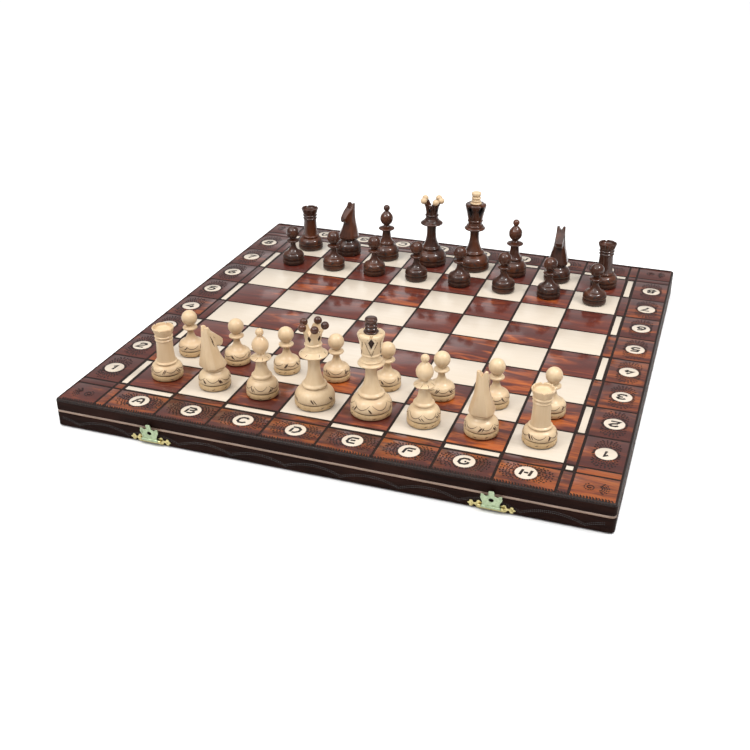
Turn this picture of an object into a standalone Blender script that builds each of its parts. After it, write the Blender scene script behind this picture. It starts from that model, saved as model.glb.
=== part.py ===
"""A folding wooden chess set: a board made of two hinged half-boxes, and its thirty-two turned men.

The board lies open and flat, with the playing surface up. +X runs from the a-file to the h-file, +Y from
White to Black and +Z up; the origin is under the middle of the board, at its lowest level.
"""

import math

import bmesh
import bpy

MM = 0.001

# Board, in metres
SQUARE = 0.049
BOARD_WIDTH = 0.486
BOARD_DEPTH = 0.480
HALF_BOX_HEIGHT = 0.026
PANEL_THICKNESS = 0.0045
RAIL_THICKNESS = 0.012
CORNER_RADIUS = 0.004
FIT_GAP = 0.0003

# Hinges: the barrel lies on the fold axis, just below the rims, and is the lowest part of the board
BARREL_RADIUS = 0.0010
HINGE_PIN_RADIUS = 0.00045
HINGE_BORE_RADIUS = 0.00065
HINGE_LENGTH = 0.030
HINGE_X = 0.150
LEAF_WIDTH = 0.008
LEAF_THICKNESS = 0.0008
KNUCKLE_LENGTH = 0.008

# Clasps
CLASP_X = 0.149
HASP_AXIS_HEIGHT = 0.0040
HASP_AXIS_OUT = 0.0022
HASP_BARREL_RADIUS = 0.0012
HASP_PIN_RADIUS = 0.0005
HASP_BORE_RADIUS = 0.0007
HASP_HALF_LENGTH = 0.0078
HASP_THICKNESS = 0.0007
HASP_HOLE_HEIGHT = 0.0066
CLASP_PLATE_THICKNESS = 0.00045
STUD_RADIUS = 0.0011

# Derived levels and edges
HALF_WIDTH = BOARD_WIDTH / 2
HALF_DEPTH = BOARD_DEPTH / 2
FOLD_Z = BARREL_RADIUS
RIM_Z = FOLD_Z + FIT_GAP / 2
TOP_Z = RIM_Z + HALF_BOX_HEIGHT
PANEL_Z = TOP_Z - PANEL_THICKNESS
RAIL_TOP_Z = PANEL_Z - FIT_GAP
SPINE_Y = FIT_GAP / 2
MAN_Z = TOP_Z + FIT_GAP
CLASP_REACH = HASP_AXIS_OUT + HASP_BARREL_RADIUS

# Turned men: numbers of flats round each body
PAWN_SIDES = 10
MAN_SIDES = 12
BALL_SIDES = 6
KNIGHT_TURN = {"b1": -30, "g1": 0, "b8": 160, "g8": 185}
QUEEN_BALL_ANGLES = {"white": (15, 87, 160, 234, 301), "black": (0, 60, 155, 218, 308)}

# Where hand-set men stand off the middle of their squares, in mm
OFF_CENTRE = {
    "a1": (1.0, 2.4), "b1": (1.1, 0.3), "c1": (-1.2, 0.2), "d1": (-0.5, 0.0),
    "e1": (1.5, 1.8), "f1": (-0.5, 0.3), "h1": (-1.0, 2.0),
    "a2": (0.0, 2.0), "c2": (1.4, -1.0), "d2": (0.5, 0.4), "f2": (1.1, -1.5), "g2": (0.0, 0.7),
    "h2": (-0.3, 1.0),
    "b7": (0.6, 0.0), "e7": (-0.2, 0.8), "g7": (-0.2, 0.8), "h7": (-0.6, 0.0),
    "a8": (0.5, 1.5), "c8": (-2.4, 0.5), "d8": (1.5, 2.5), "e8": (2.1, 4.0), "f8": (0.0, 0.5),
    "h8": (2.0, 0.3),
}

FINISHES = {
    "mahogany": ((0.16, 0.045, 0.035), 0.3, 0.0),
    "dark_rail": ((0.045, 0.022, 0.018), 0.4, 0.0),
    "raw_beech": ((0.55, 0.40, 0.25), 0.6, 0.0),
    "pale_wood": ((0.78, 0.62, 0.40), 0.45, 0.0),
    "walnut": ((0.09, 0.035, 0.02), 0.25, 0.0),
    "brass": ((0.75, 0.60, 0.30), 0.3, 1.0),
    "steel": ((0.55, 0.55, 0.55), 0.35, 1.0),
}


def clear_scene():
    for old in list(bpy.data.objects):
        bpy.data.objects.remove(old, do_unlink=True)


def make_material(name, finish):
    colour, roughness, metallic = FINISHES[finish]
    material = bpy.data.materials.new(name)
    material.use_nodes = True
    shader = material.node_tree.nodes["Principled BSDF"]
    shader.inputs["Base Color"].default_value = (*colour, 1.0)
    shader.inputs["Roughness"].default_value = roughness
    shader.inputs["Metallic"].default_value = metallic
    return material


def add_object(name, bm, finish, at=(0, 0, 0), turn=0, parent=None, smooth=False):
    """Close the bmesh into an object with its material, its origin at a world point and turned about Z."""
    bmesh.ops.recalc_face_normals(bm, faces=bm.faces)
    mesh = bpy.data.meshes.new(name)
    bm.to_mesh(mesh)
    bm.free()
    if smooth:
        mesh.shade_smooth()
        mesh.set_sharp_from_angle(angle=math.radians(40))
    thing = bpy.data.objects.new(name, mesh)
    bpy.context.scene.collection.objects.link(thing)
    thing.data.materials.append(make_material(name, finish))
    thing.rotation_euler.z = math.radians(turn)
    if parent:
        thing.parent = parent
        at = [a - b for a, b in zip(at, parent.location)]
    thing.location = at
    return thing


def add_axis(name, at):
    axis = bpy.data.objects.new(name, None)
    axis.location = at
    bpy.context.scene.collection.objects.link(axis)
    return axis


def combine(target, tool, operation):
    """Join or cut the target with a hidden tool object, placed in the same parent."""
    tool.hide_render = True
    tool.display_type = "WIRE"
    modifier = target.modifiers.new(operation.title(), "BOOLEAN")
    modifier.operation = operation
    modifier.solver = "EXACT"
    modifier.object = tool


# --- closed shapes --------------------------------------------------------------------------------


def box(low, high):
    bm = bmesh.new()
    bmesh.ops.create_cube(bm, size=1)
    for vert in bm.verts:
        vert.co = [a + (b - a) * (c + 0.5) for a, b, c in zip(low, high, vert.co)]
    return bm


def prism(outline, start, end, along="z"):
    """An outline extruded along an axis. Outline points are (x, y) for z, (x, z) for y and (y, z) for x."""
    place = {
        "z": lambda a, b, c: (a, b, c),
        "y": lambda a, b, c: (a, c, b),
        "x": lambda a, b, c: (c, a, b),
    }[along]
    bm = bmesh.new()
    face = bm.faces.new([bm.verts.new(place(a, b, start)) for a, b in outline])
    raised = bmesh.ops.extrude_face_region(bm, geom=[face])["geom"]
    moved = [item for item in raised if isinstance(item, bmesh.types.BMVert)]
    bmesh.ops.translate(bm, verts=moved, vec=place(0, 0, end - start))
    bmesh.ops.triangulate(bm, faces=bm.faces)
    return bm


def turned(profile, sides):
    """A closed turned body. The profile is (radius, height), from the axis at the foot to the axis on top."""
    bm = bmesh.new()
    verts = [bm.verts.new((radius, 0, height)) for radius, height in profile]
    edges = [bm.edges.new(pair) for pair in zip(verts, verts[1:])]
    bmesh.ops.spin(
        bm, geom=verts + edges, cent=(0, 0, 0), axis=(0, 0, 1), angle=math.tau, steps=sides
    )
    bmesh.ops.remove_doubles(bm, verts=bm.verts, dist=1e-6)
    return bm


def arc(centre, radii, start, end, steps):
    """Points on an elliptic arc, with the angles in degrees counter-clockwise from the first axis."""
    angles = [math.radians(start + (end - start) * i / steps) for i in range(steps + 1)]
    return [(centre[0] + radii[0] * math.cos(a), centre[1] + radii[1] * math.sin(a)) for a in angles]


def circle(centre, radius, sides):
    return arc(centre, (radius, radius), 0, 360, sides)[:-1]


# --- board ----------------------------------------------------------------------------------------


def outer_outline(depth):
    """Plan of a board piece along a player's edge, at y = -HALF_DEPTH, whose two outer corners are rounded."""
    r = CORNER_RADIUS
    inner_y = -HALF_DEPTH + depth
    left = arc((-HALF_WIDTH + r, -HALF_DEPTH + r), (r, r), 180, 270, 4)
    right = arc((HALF_WIDTH - r, -HALF_DEPTH + r), (r, r), 270, 360, 4)
    return [(-HALF_WIDTH, inner_y), *left, *right, (HALF_WIDTH, inner_y)]


def towards(side, outline):
    """The same plan on White's side (-1), or turned half a turn for Black's side (+1)."""
    return [(-side * x, -side * y) for x, y in outline]


def hinge_mortise(side, x):
    """The shallow cut in a spine rail's rim that takes a hinge leaf and half the barrel."""
    deep = FOLD_Z + BARREL_RADIUS + FIT_GAP
    near, far = sorted((-side * 0.002, side * (LEAF_WIDTH + FIT_GAP)))
    half_length = HINGE_LENGTH / 2 + FIT_GAP
    return box((x - half_length, near, -FIT_GAP), (x + half_length, far, deep))


def half_box(side, half, player, axis):
    """One half of the board: four rails under a panel. The side is -1 for White's half and +1 for Black's."""
    inner_x, inner_y = HALF_WIDTH - RAIL_THICKNESS, HALF_DEPTH - RAIL_THICKNESS
    player_rail = towards(side, outer_outline(RAIL_THICKNESS))
    add_object(f"{player}_rail", prism(player_rail, RIM_Z, RAIL_TOP_Z), "dark_rail", parent=axis)
    for name, x_side in (("left", -1), ("right", 1)):
        x0, x1 = sorted((x_side * inner_x, x_side * HALF_WIDTH))
        y0, y1 = sorted((side * SPINE_Y, side * (inner_y - FIT_GAP)))
        rail = box((x0, y0, RIM_Z), (x1, y1, RAIL_TOP_Z))
        add_object(f"{half}_{name}_rail", rail, "dark_rail", parent=axis)
    y0, y1 = sorted((side * SPINE_Y, side * RAIL_THICKNESS))
    end = inner_x - FIT_GAP
    spine = box((-end, y0, RIM_Z), (end, y1, RAIL_TOP_Z))
    spine = add_object(f"{half}_spine_rail", spine, "raw_beech", parent=axis)
    for name, x in (("left", -HINGE_X), ("right", HINGE_X)):
        mortise = add_object(f"{half}_{name}_mortise", hinge_mortise(side, x), "raw_beech", parent=axis)
        combine(spine, mortise, "DIFFERENCE")
    panel = towards(side, outer_outline(HALF_DEPTH - SPINE_Y))
    add_object(f"{half}_panel", prism(panel, PANEL_Z, TOP_Z), "mahogany", parent=axis)


def hinge_leaf(name, side, x, knuckles, axis):
    """A leaf let into the rim, with rolled knuckles round the fold axis, each a (start, end) along X."""
    near = BARREL_RADIUS + FIT_GAP
    y0, y1 = sorted((side * near, side * LEAF_WIDTH))
    half_length = HINGE_LENGTH / 2
    leaf_top = RIM_Z + LEAF_THICKNESS
    plate = box((x - half_length, y0, RIM_Z), (x + half_length, y1, leaf_top))
    leaf = add_object(name, plate, "brass", parent=axis)
    for number, (start, end) in enumerate(knuckles):
        ring = prism(circle((0, FOLD_Z), BARREL_RADIUS, 16), x + start, x + end, "x")
        combine(leaf, add_object(f"{name}_ring_{number}", ring, "brass", parent=axis), "UNION")
        y0, y1 = sorted((side * BARREL_RADIUS * 0.5, side * (near + FIT_GAP)))
        tongue = box((x + start, y0, RIM_Z), (x + end, y1, leaf_top - FIT_GAP / 6))
        combine(leaf, add_object(f"{name}_tongue_{number}", tongue, "brass", parent=axis), "UNION")
    bore = prism(circle((0, FOLD_Z), HINGE_BORE_RADIUS, 12), x - HINGE_LENGTH, x + HINGE_LENGTH, "x")
    combine(leaf, add_object(f"{name}_bore", bore, "brass", parent=axis), "DIFFERENCE")


def hinge(place, x, axis):
    end = HINGE_LENGTH / 2
    inner = end - KNUCKLE_LENGTH
    hinge_leaf(f"{place}_hinge_front_leaf", -1, x, [(-end, -inner), (inner, end)], None)
    hinge_leaf(f"{place}_hinge_rear_leaf", 1, x, [(-inner + FIT_GAP, inner - FIT_GAP)], axis)
    pin = prism(circle((0, FOLD_Z), HINGE_PIN_RADIUS, 10), x - end - FIT_GAP, x + end + FIT_GAP, "x")
    add_object(f"{place}_hinge_pin", pin, "steel")


# --- clasps ---------------------------------------------------------------------------------------


def mirrored(right_half):
    """A closed outline from its right half, which runs from the bottom of the centre line to its top."""
    points = [(x * MM, z * MM) for x, z in right_half]
    return points + [(-x, z) for x, z in reversed(points) if x > 0]


def clasp_plate_outline():
    """The ornamental base plate, in mm: a straight middle, an ear by the knuckle, a three-lobed end."""
    ear = [(11.6, 5.0), (11.0, 7.0), (9.2, 7.4), (8.6, 6.2)]
    lobes = [(12.2, 2.6), (14.4, 2.8), (15.2, 0.9), (17.2, 1.0), (17.6, 2.6), (19.2, 3.7)]
    back = [(17.6, 4.8), (17.0, 6.6), (15.0, 6.6), (14.4, 4.8)]
    return mirrored([(0, 0.4), (11.2, 0.4), *lobes, *back, *ear, (0, 6.2)])


def hasp_outline():
    """The hasp plate, in mm above its axis: waisted sides, flared shoulders and a finger tab."""
    sides = [(0, 0.3), (7.2, 0.3), (7.0, 3.4), (8.6, 7.6), (8.8, 11.0)]
    tab = [(6.0, 11.4), (2.6, 10.2), (2.4, 15.4), (0, 15.6)]
    return mirrored(sides + tab)


def clasp_plate(place, x):
    """The plate fixed to White's rail, with two knuckles and the pin between them."""
    face = -HALF_DEPTH - FIT_GAP
    front = face - CLASP_PLATE_THICKNESS
    axis_y, axis_z = -HALF_DEPTH - HASP_AXIS_OUT, RIM_Z + HASP_AXIS_HEIGHT
    outline = [(x + a, RIM_Z + b) for a, b in clasp_plate_outline()]
    plate = add_object(f"{place}_clasp_plate", prism(outline, front, face, "y"), "brass")
    r = HASP_BARREL_RADIUS
    back = face - FIT_GAP / 2
    knuckle = [(back, axis_z + r), *arc((axis_y, axis_z), (r, r), 90, 270, 6), (back, axis_z - r)]
    for name, x_side in (("left", -1), ("right", 1)):
        near, far = HASP_HALF_LENGTH + FIT_GAP, HASP_HALF_LENGTH + 0.0026
        start, end = sorted((x + x_side * near, x + x_side * far))
        ring = prism(knuckle, start, end, "x")
        combine(plate, add_object(f"{place}_{name}_knuckle", ring, "brass"), "UNION")
    reach = HASP_HALF_LENGTH + 0.001
    pin = prism(circle((axis_y, axis_z), HASP_PIN_RADIUS, 8), x - reach, x + reach, "x")
    combine(plate, add_object(f"{place}_clasp_pin", pin, "brass"), "UNION")


def hasp(place, x):
    """The swinging plate, upright at rest. Its origin is on its own axis."""
    at = (x, -HALF_DEPTH - HASP_AXIS_OUT, RIM_Z + HASP_AXIS_HEIGHT)
    half = HASP_THICKNESS / 2
    plate = add_object(f"{place}_hasp", prism(hasp_outline(), -half, half, "y"), "brass", at)
    barrel = prism(circle((0, 0), HASP_BARREL_RADIUS, 16), -HASP_HALF_LENGTH, HASP_HALF_LENGTH, "x")
    combine(plate, add_object(f"{place}_hasp_barrel", barrel, "brass", at), "UNION")
    bore = prism(circle((0, 0), HASP_BORE_RADIUS, 12), -0.01, 0.01, "x")
    combine(plate, add_object(f"{place}_hasp_bore", bore, "brass", at), "DIFFERENCE")
    hole = prism(arc((0, HASP_HOLE_HEIGHT), (0.0021, 0.0017), 0, 330, 11), -0.002, 0.002, "y")
    combine(plate, add_object(f"{place}_hasp_hole", hole, "brass", at), "DIFFERENCE")


def catch(place, x, axis):
    """The catch plate on Black's rail, whose stud enters the hasp's hole when the board is folded."""
    face = HALF_DEPTH + FIT_GAP
    stud_z = RIM_Z + HASP_HOLE_HEIGHT - HASP_AXIS_HEIGHT - FIT_GAP
    ear = [(7.4, 0.5), (8.6, 2.4), (7.6, 4.2), (8.2, 6.0), (6.4, 7.4), (4.0, 7.0), (2.2, 8.6)]
    outline = [(x + a, RIM_Z + b) for a, b in mirrored([(0, 0.5), *ear, (0, 9.0)])]
    plate = prism(outline, face, face + CLASP_PLATE_THICKNESS, "y")
    plate = add_object(f"{place}_catch", plate, "brass", parent=axis)
    stud = prism(circle((x, stud_z), STUD_RADIUS, 10), face + FIT_GAP / 2, HALF_DEPTH + CLASP_REACH, "y")
    combine(plate, add_object(f"{place}_catch_stud", stud, "brass", parent=axis), "UNION")


# --- men ------------------------------------------------------------------------------------------


def foot(radius, dome_height, neck):
    """Foot band, groove and domed base shared by every man, in mm, up to the neck (radius, height)."""
    dome = arc((neck[0], 7.0), (radius - neck[0], dome_height - 7.0), 0, 70, 3)
    return [(0, 0), (radius - 0.8, 0), (radius, 1.2), (radius - 0.3, 5.4), *dome, neck]


def scaled(profile):
    return [(radius * MM, height * MM) for radius, height in profile]


def pawn_profile():
    collar = [(2.9, 20.5), (3.3, 24.2), (6.9, 25.6), (6.6, 27.4), (3.4, 28.4)]
    ball = arc((0, 36.0), (7.25, 7.3), -50, 90, 5)
    return foot(12.3, 13.0, (8.4, 13.2)) + collar + ball


def rook_profile():
    shaft = [(10.0, 14.2), (10.0, 15.6), (8.2, 16.8), (7.2, 36.0)]
    cup = [(8.0, 37.0), (7.6, 42.3), (9.7, 48.4), (8.9, 48.8), (7.4, 45.4), (0, 45.4)]
    return foot(14.3, 13.4, (9.0, 13.6)) + shaft + cup


def bishop_profile():
    stem = [(9.1, 18.4), (8.4, 20.0), (5.4, 25.6), (4.6, 33.0), (9.0, 34.9), (8.7, 36.3), (3.0, 38.8)]
    onion = [(6.5, 43.4), (7.4, 47.6), (5.5, 53.2), (1.9, 56.4)]
    ball = arc((0, 59.5), (3.65, 3.65), -30, 90, 3)
    return foot(14.3, 15.8, (7.6, 16.6)) + stem + onion + ball


def knight_base_profile():
    return foot(14.4, 14.6, (8.8, 15.8)) + [(8.6, 16.8), (9.6, 17.8), (9.4, 19.0), (0, 19.0)]


def queen_profile():
    stem = [(11.0, 18.6), (10.4, 20.4), (7.0, 26.6), (5.2, 36.0), (5.3, 45.2), (12.4, 47.2), (12.1, 48.6)]
    crown = [(7.0, 53.6), (7.6, 57.0), (6.5, 58.4), (9.6, 70.2), (10.0, 71.4), (8.4, 71.6), (5.8, 67.0)]
    crown.append((0, 66.4))
    return foot(17.5, 16.2, (9.4, 17.2)) + stem + crown


def king_profile():
    stem = [(11.6, 18.6), (11.0, 20.4), (7.4, 26.6), (4.95, 36.0), (5.2, 44.4), (11.5, 46.3), (11.3, 48.0)]
    neck = [(8.2, 50.2), (8.0, 54.4), (8.5, 55.8), (8.2, 57.6)]
    crown = [(9.0, 62.0), (10.0, 67.0), (11.6, 72.3), (10.6, 75.0), (0, 75.0)]
    return foot(17.8, 16.2, (10.2, 17.2)) + stem + neck + crown


def finial_profile():
    """A stack of three discs on a spreading foot, in mm above the crown."""
    discs = [(4.2, 2.0), (5.2, 3.4), (4.1, 5.1), (5.3, 6.4), (4.0, 8.3), (5.2, 11.0)]
    return [(0, 0), (6.4, 0), *discs, (4.6, 12.7), (0, 13.2)]


def ball_profile(radius):
    return [(0, -radius), *arc((0, 0), (radius, radius), -60, 60, 3)[0:4], (0, radius)]


PROFILES = {
    "pawn": pawn_profile,
    "rook": rook_profile,
    "bishop": bishop_profile,
    "knight": knight_base_profile,
    "queen": queen_profile,
    "king": king_profile,
}
FINIAL_HEIGHT = 75.3
QUEEN_BALL = {"radius": 3.6, "ring": 10.2, "height": 74.0}
KNIGHT_HEAD_FOOT = 19.3


def knight_head():
    """The carved head, facing +Y: one side outline in five layers across, with a dip between the two ears."""
    neck = [(-10.8, KNIGHT_HEAD_FOOT), (-10.4, 30), (-9.2, 46), (-8.4, 53)]
    ear_tip = len(neck)
    face = [(-5.6, 58.8), (-2.4, 54.0), (2.4, 50.0), (8.4, 45.6), (10.0, 42.6), (9.6, 37.0)]
    chest = [(6.2, 35.0), (3.0, 36.4), (5.4, 29.6), (10.8, KNIGHT_HEAD_FOOT)]
    outline = neck + face + chest
    bm = bmesh.new()
    layers = []
    for across, inset in ((-1, 0.82), (-0.6, 1), (0, 1), (0.6, 1), (1, 0.82)):
        layer = []
        for number, (forward, height) in enumerate(outline):
            narrowing = min(1, (height - KNIGHT_HEAD_FOOT) / 26)
            half_width = 10.6 - 5.0 * narrowing
            if across == 0 and number == ear_tip:
                height -= 4.6
            layer.append(bm.verts.new((across * half_width * MM, forward * inset * MM, height * MM)))
        layers.append(layer)
    count = len(outline)
    for one, two in zip(layers, layers[1:]):
        for i in range(count):
            j = (i + 1) % count
            bm.faces.new((one[i], one[j], two[j], two[i]))
    bm.faces.new(layers[0])
    bm.faces.new(layers[-1])
    bmesh.ops.triangulate(bm, faces=bm.faces)
    return bm


def crown_balls(queen, colour, at, axis):
    ring, height = QUEEN_BALL["ring"] * MM, at[2] + QUEEN_BALL["height"] * MM
    for number, angle in enumerate(QUEEN_BALL_ANGLES[colour]):
        a = math.radians(angle)
        centre = (at[0] + ring * math.cos(a), at[1] + ring * math.sin(a), height)
        ball = turned(scaled(ball_profile(QUEEN_BALL["radius"])), BALL_SIDES)
        ball = add_object(f"{queen.name}_ball_{number}", ball, "walnut", centre, angle, axis)
        combine(queen, ball, "UNION")


def add_man(colour, kind, square, axis):
    """One man on its square, such as e1, with the separate pieces that it carries."""
    file_number, rank = "abcdefgh".index(square[0]), int(square[1])
    off_x, off_y = OFF_CENTRE.get(square, (0, 0))
    at = ((file_number - 3.5) * SQUARE + off_x * MM, (rank - 4.5) * SQUARE + off_y * MM, MAN_Z)
    name = f"{colour}_{kind}" if kind in ("king", "queen") else f"{colour}_{kind}_{square}"
    wood, accent = ("pale_wood", "walnut") if colour == "white" else ("walnut", "pale_wood")
    sides = PAWN_SIDES if kind == "pawn" else MAN_SIDES
    man = add_object(name, turned(scaled(PROFILES[kind]()), sides), wood, at, parent=axis, smooth=True)
    if kind == "king":
        top = (at[0], at[1], at[2] + FINIAL_HEIGHT * MM)
        finial = turned(scaled(finial_profile()), BALL_SIDES + 2)
        add_object(f"{name}_finial", finial, accent, top, parent=axis)
    if kind == "queen":
        crown_balls(man, colour, at, axis)
    if kind == "knight":
        add_object(f"{name}_head", knight_head(), wood, at, KNIGHT_TURN[square], axis)


def build():
    clear_scene()
    fold_axis = add_axis("fold_axis", (0, 0, FOLD_Z))
    half_box(-1, "front_half", "front", None)
    half_box(1, "rear_half", "rear", fold_axis)
    for place, x_side in (("left", -1), ("right", 1)):
        hinge(place, x_side * HINGE_X, fold_axis)
        clasp_plate(place, x_side * CLASP_X)
        hasp(place, x_side * CLASP_X)
        catch(place, x_side * CLASP_X, fold_axis)
    back_row = ("rook", "knight", "bishop", "queen", "king", "bishop", "knight", "rook")
    for file_letter, kind in zip("abcdefgh", back_row):
        add_man("white", kind, f"{file_letter}1", None)
        add_man("white", "pawn", f"{file_letter}2", None)
        add_man("black", "pawn", f"{file_letter}7", fold_axis)
        add_man("black", kind, f"{file_letter}8", fold_axis)


build()
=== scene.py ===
# %% [markdown]
# # A folding wooden chess set
#
# The board is two shallow boxes, hinged at the middle and lying open. Thirty-two turned men stand on it.
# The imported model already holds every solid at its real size. This notebook dresses that frame: each step
# makes the fine surface of one piece and lets it ride on the body that carries it. Lengths are in metres,
# unless a name or a comment says millimetres.

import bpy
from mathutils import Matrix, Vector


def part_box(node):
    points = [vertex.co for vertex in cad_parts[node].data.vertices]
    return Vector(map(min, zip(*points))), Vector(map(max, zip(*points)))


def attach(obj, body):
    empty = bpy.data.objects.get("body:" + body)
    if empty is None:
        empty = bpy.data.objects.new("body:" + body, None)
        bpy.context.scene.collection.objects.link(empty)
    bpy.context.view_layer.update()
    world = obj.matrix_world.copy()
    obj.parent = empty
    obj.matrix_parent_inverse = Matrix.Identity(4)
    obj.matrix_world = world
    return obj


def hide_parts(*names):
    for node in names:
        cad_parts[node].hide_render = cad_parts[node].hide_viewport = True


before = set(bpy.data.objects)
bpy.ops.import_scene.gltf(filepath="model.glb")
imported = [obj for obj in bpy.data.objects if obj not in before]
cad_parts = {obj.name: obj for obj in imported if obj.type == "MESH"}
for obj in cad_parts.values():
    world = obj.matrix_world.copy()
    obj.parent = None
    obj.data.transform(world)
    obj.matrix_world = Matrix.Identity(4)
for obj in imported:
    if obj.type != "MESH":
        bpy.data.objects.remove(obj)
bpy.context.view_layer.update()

# %% Python's and Blender's own modules
import math
import random

import bmesh
import bpy
from mathutils import Matrix, Vector

MM = 0.001
scene = bpy.context.scene
dice = random.Random(64)

# %% [markdown]
# ## Sizes read from the frame
#
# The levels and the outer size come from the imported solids, and so does the place of every man. The side
# of a square, the thickness of a rail and the radius of a corner are written down here. `field` is half the
# width of the playing field, `half_wide` half the board's width and `half_deep` half its depth.

# %% Levels and the squares' side
front_low, front_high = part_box("front_half_panel")
top_z, panel_z = front_high.z, front_low.z
rim_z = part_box("front_rail")[0].z
half_wide, half_deep = front_high.x, -front_low.y
fold_gap = -front_high.y
square = 0.049
field = 4 * square
rail_wall = 0.012
corner_radius = 0.004
print("playing surface at", round(top_z, 5), "rim at", round(rim_z, 5))
print("half the board:", round(half_wide, 4), "by", round(half_deep, 4))

# %% [markdown]
# ## Shader maths as expressions
#
# A material is a graph of nodes, and long chains of Math nodes are hard to read. `Wire` wraps one output
# socket, so that `figure + blank * 0.22` adds the Math nodes for us. `Finish` holds one material; its `node`
# method adds any other node from its type, its settings and what goes into its sockets.

# %% One wire of a shader graph
class Wire:
    """An output socket that adds Math nodes when it is used in a sum."""

    def __init__(self, finish, socket):
        self.finish, self.socket = finish, socket

    def math(self, operation, *values):
        return self.finish.node("ShaderNodeMath", {"operation": operation}, dict(enumerate(values)))

    def __add__(self, other):
        return self.math("ADD", self, other)

    def __sub__(self, other):
        return self.math("SUBTRACT", self, other)

    def __mul__(self, other):
        return self.math("MULTIPLY", self, other)

    def between(self, low, high):
        """0 below the low value, 1 above the high one, and a smooth step between them."""
        settings = {"interpolation_type": "SMOOTHSTEP"}
        sockets = {"Value": self, "From Min": low, "From Max": high}
        return self.finish.node("ShaderNodeMapRange", settings, sockets)


# %% One finish, with its graph
class Finish:
    """A material whose surface is a Principled BSDF."""

    def __init__(self, name, **constants):
        self.material = bpy.data.materials.new(name)
        self.material.use_nodes = True
        self.tree = self.material.node_tree
        self.shader = self.tree.nodes["Principled BSDF"]
        self.set(**constants)

    def set(self, **sockets):
        """Sets or links the shader's own sockets, named with underscores for spaces."""
        for name, value in sockets.items():
            self.feed(self.shader.inputs[name.replace("_", " ").title().replace("Ior", "IOR")], value)

    def feed(self, socket, value):
        if isinstance(value, Wire):
            self.tree.links.new(value.socket, socket)
        elif isinstance(value, tuple) and len(value) == 3 and socket.type == "RGBA":
            socket.default_value = (*value, 1.0)
        else:
            socket.default_value = value

    def node(self, kind, settings=None, sockets=None, output=0):
        """Adds a node: settings first, then sockets by name or number. Returns one output as a Wire."""
        made = self.tree.nodes.new(kind)
        for name, value in (settings or {}).items():
            if name == "stops":
                self.fill_ramp(made.color_ramp, value)
            else:
                setattr(made, name, value)
        for name, value in (sockets or {}).items():
            self.feed(made.inputs[name], value)
        return Wire(self, made.outputs[output])

    def fill_ramp(self, ramp, stops):
        while len(ramp.elements) < len(stops):
            ramp.elements.new(1.0)
        for element, (place, colour) in zip(ramp.elements, stops):
            element.position, element.color = place, (*colour, 1.0)

    def place(self, scale):
        """The point on the piece, with a scale for each axis. A grain runs along the smallest one."""
        point = self.node("ShaderNodeTexCoord", output="Object")
        return self.node("ShaderNodeVectorMath", {"operation": "MULTIPLY"}, {0: point, 1: scale})

    def shifted(self, point, amount):
        """The same point moved by a number along every axis, so that neighbouring blanks differ."""
        step = self.node("ShaderNodeCombineXYZ", None, {0: amount, 1: amount, 2: amount})
        return self.node("ShaderNodeVectorMath", {"operation": "ADD"}, {0: point, 1: step})

    def noise(self, point, scale, detail=3.0, roughness=0.5, distortion=0.0):
        sockets = {"Vector": point, "Scale": scale, "Detail": detail, "Roughness": roughness}
        return self.node("ShaderNodeTexNoise", None, {**sockets, "Distortion": distortion})

    def ramp(self, value, *stops):
        return self.node("ShaderNodeValToRGB", {"stops": stops}, {"Fac": value})

    def mix(self, share, first, second):
        """One colour into another. A Mix node takes colours at sockets 6 and 7 and gives one at output 2."""
        sockets = {0: share, 6: first, 7: second}
        return self.node("ShaderNodeMix", {"data_type": "RGBA"}, sockets, output=2)

    def relief(self, height, strength, distance=0.0002):
        sockets = {"Strength": strength, "Distance": distance, "Height": height}
        self.set(normal=self.node("ShaderNodeBump", None, sockets))


print("shader helpers are ready")

# %% [markdown]
# ## The board's finishes
#
# The dark squares and the border are stained red-brown, and the stain is deep enough to show orange flames
# of figure under a thick glossy lacquer. A coat over the base keeps the two apart: the base stays warm and
# saturated, and the coat adds the pale haze that any lacquer shows at a low angle. The grain runs along X
# on every blank, so the noise is stretched along X. Each blank carries a number called `blank`, from about
# -0.5 to 1.4. It moves the grain, because no two blanks are cut from the same spot, and a higher number
# brings out more of the orange flame. Part of the number comes from the blank's place and is painted light:
# the blanks towards White's right corner are painted brighter and more orange, as if lit more strongly.

# %% Stained mahogany under lacquer
def mahogany(name, depth):
    """Depth multiplies the stain's colour, from 0 for black to 1 for the squares of the field."""
    finish = Finish(name, roughness=0.42, coat_weight=1.0, coat_roughness=0.15, coat_ior=1.5)
    finish.set(specular_ior_level=0.25)
    blank = finish.node("ShaderNodeAttribute", {"attribute_name": "blank"}, output="Fac")
    point = finish.shifted(finish.place((14.0, 60.0, 60.0)), blank * 37)
    figure = finish.noise(point, 1.4, detail=4.0, roughness=0.6, distortion=0.8)
    # The blank's number widens the orange flame; the share that comes from the blank's place is painted
    # light.
    flame_and_light = (figure + blank * 0.22 - 0.13).between(0.5, 0.74)
    fine = finish.noise(finish.shifted(finish.place((60.0, 900.0, 900.0)), blank * 11), 1.0, detail=2.0)
    base = finish.ramp(
        figure, (0.25, (0.052, 0.0095, 0.0070)), (0.5, (0.098, 0.0165, 0.0095)), (0.75, (0.175, 0.030, 0.012))
    )
    orange = finish.ramp(fine, (0.3, (0.38, 0.070, 0.010)), (0.75, (0.62, 0.17, 0.022)))
    streaked = finish.mix(fine.between(0.45, 0.75) * 0.4, base, (0.055, 0.011, 0.006))
    stained = finish.mix(flame_and_light * 0.65, streaked, orange)
    finish.set(base_color=finish.mix(1 - depth, stained, (0.012, 0.004, 0.003)))
    finish.relief(fine, 0.12)
    return finish.material


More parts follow.
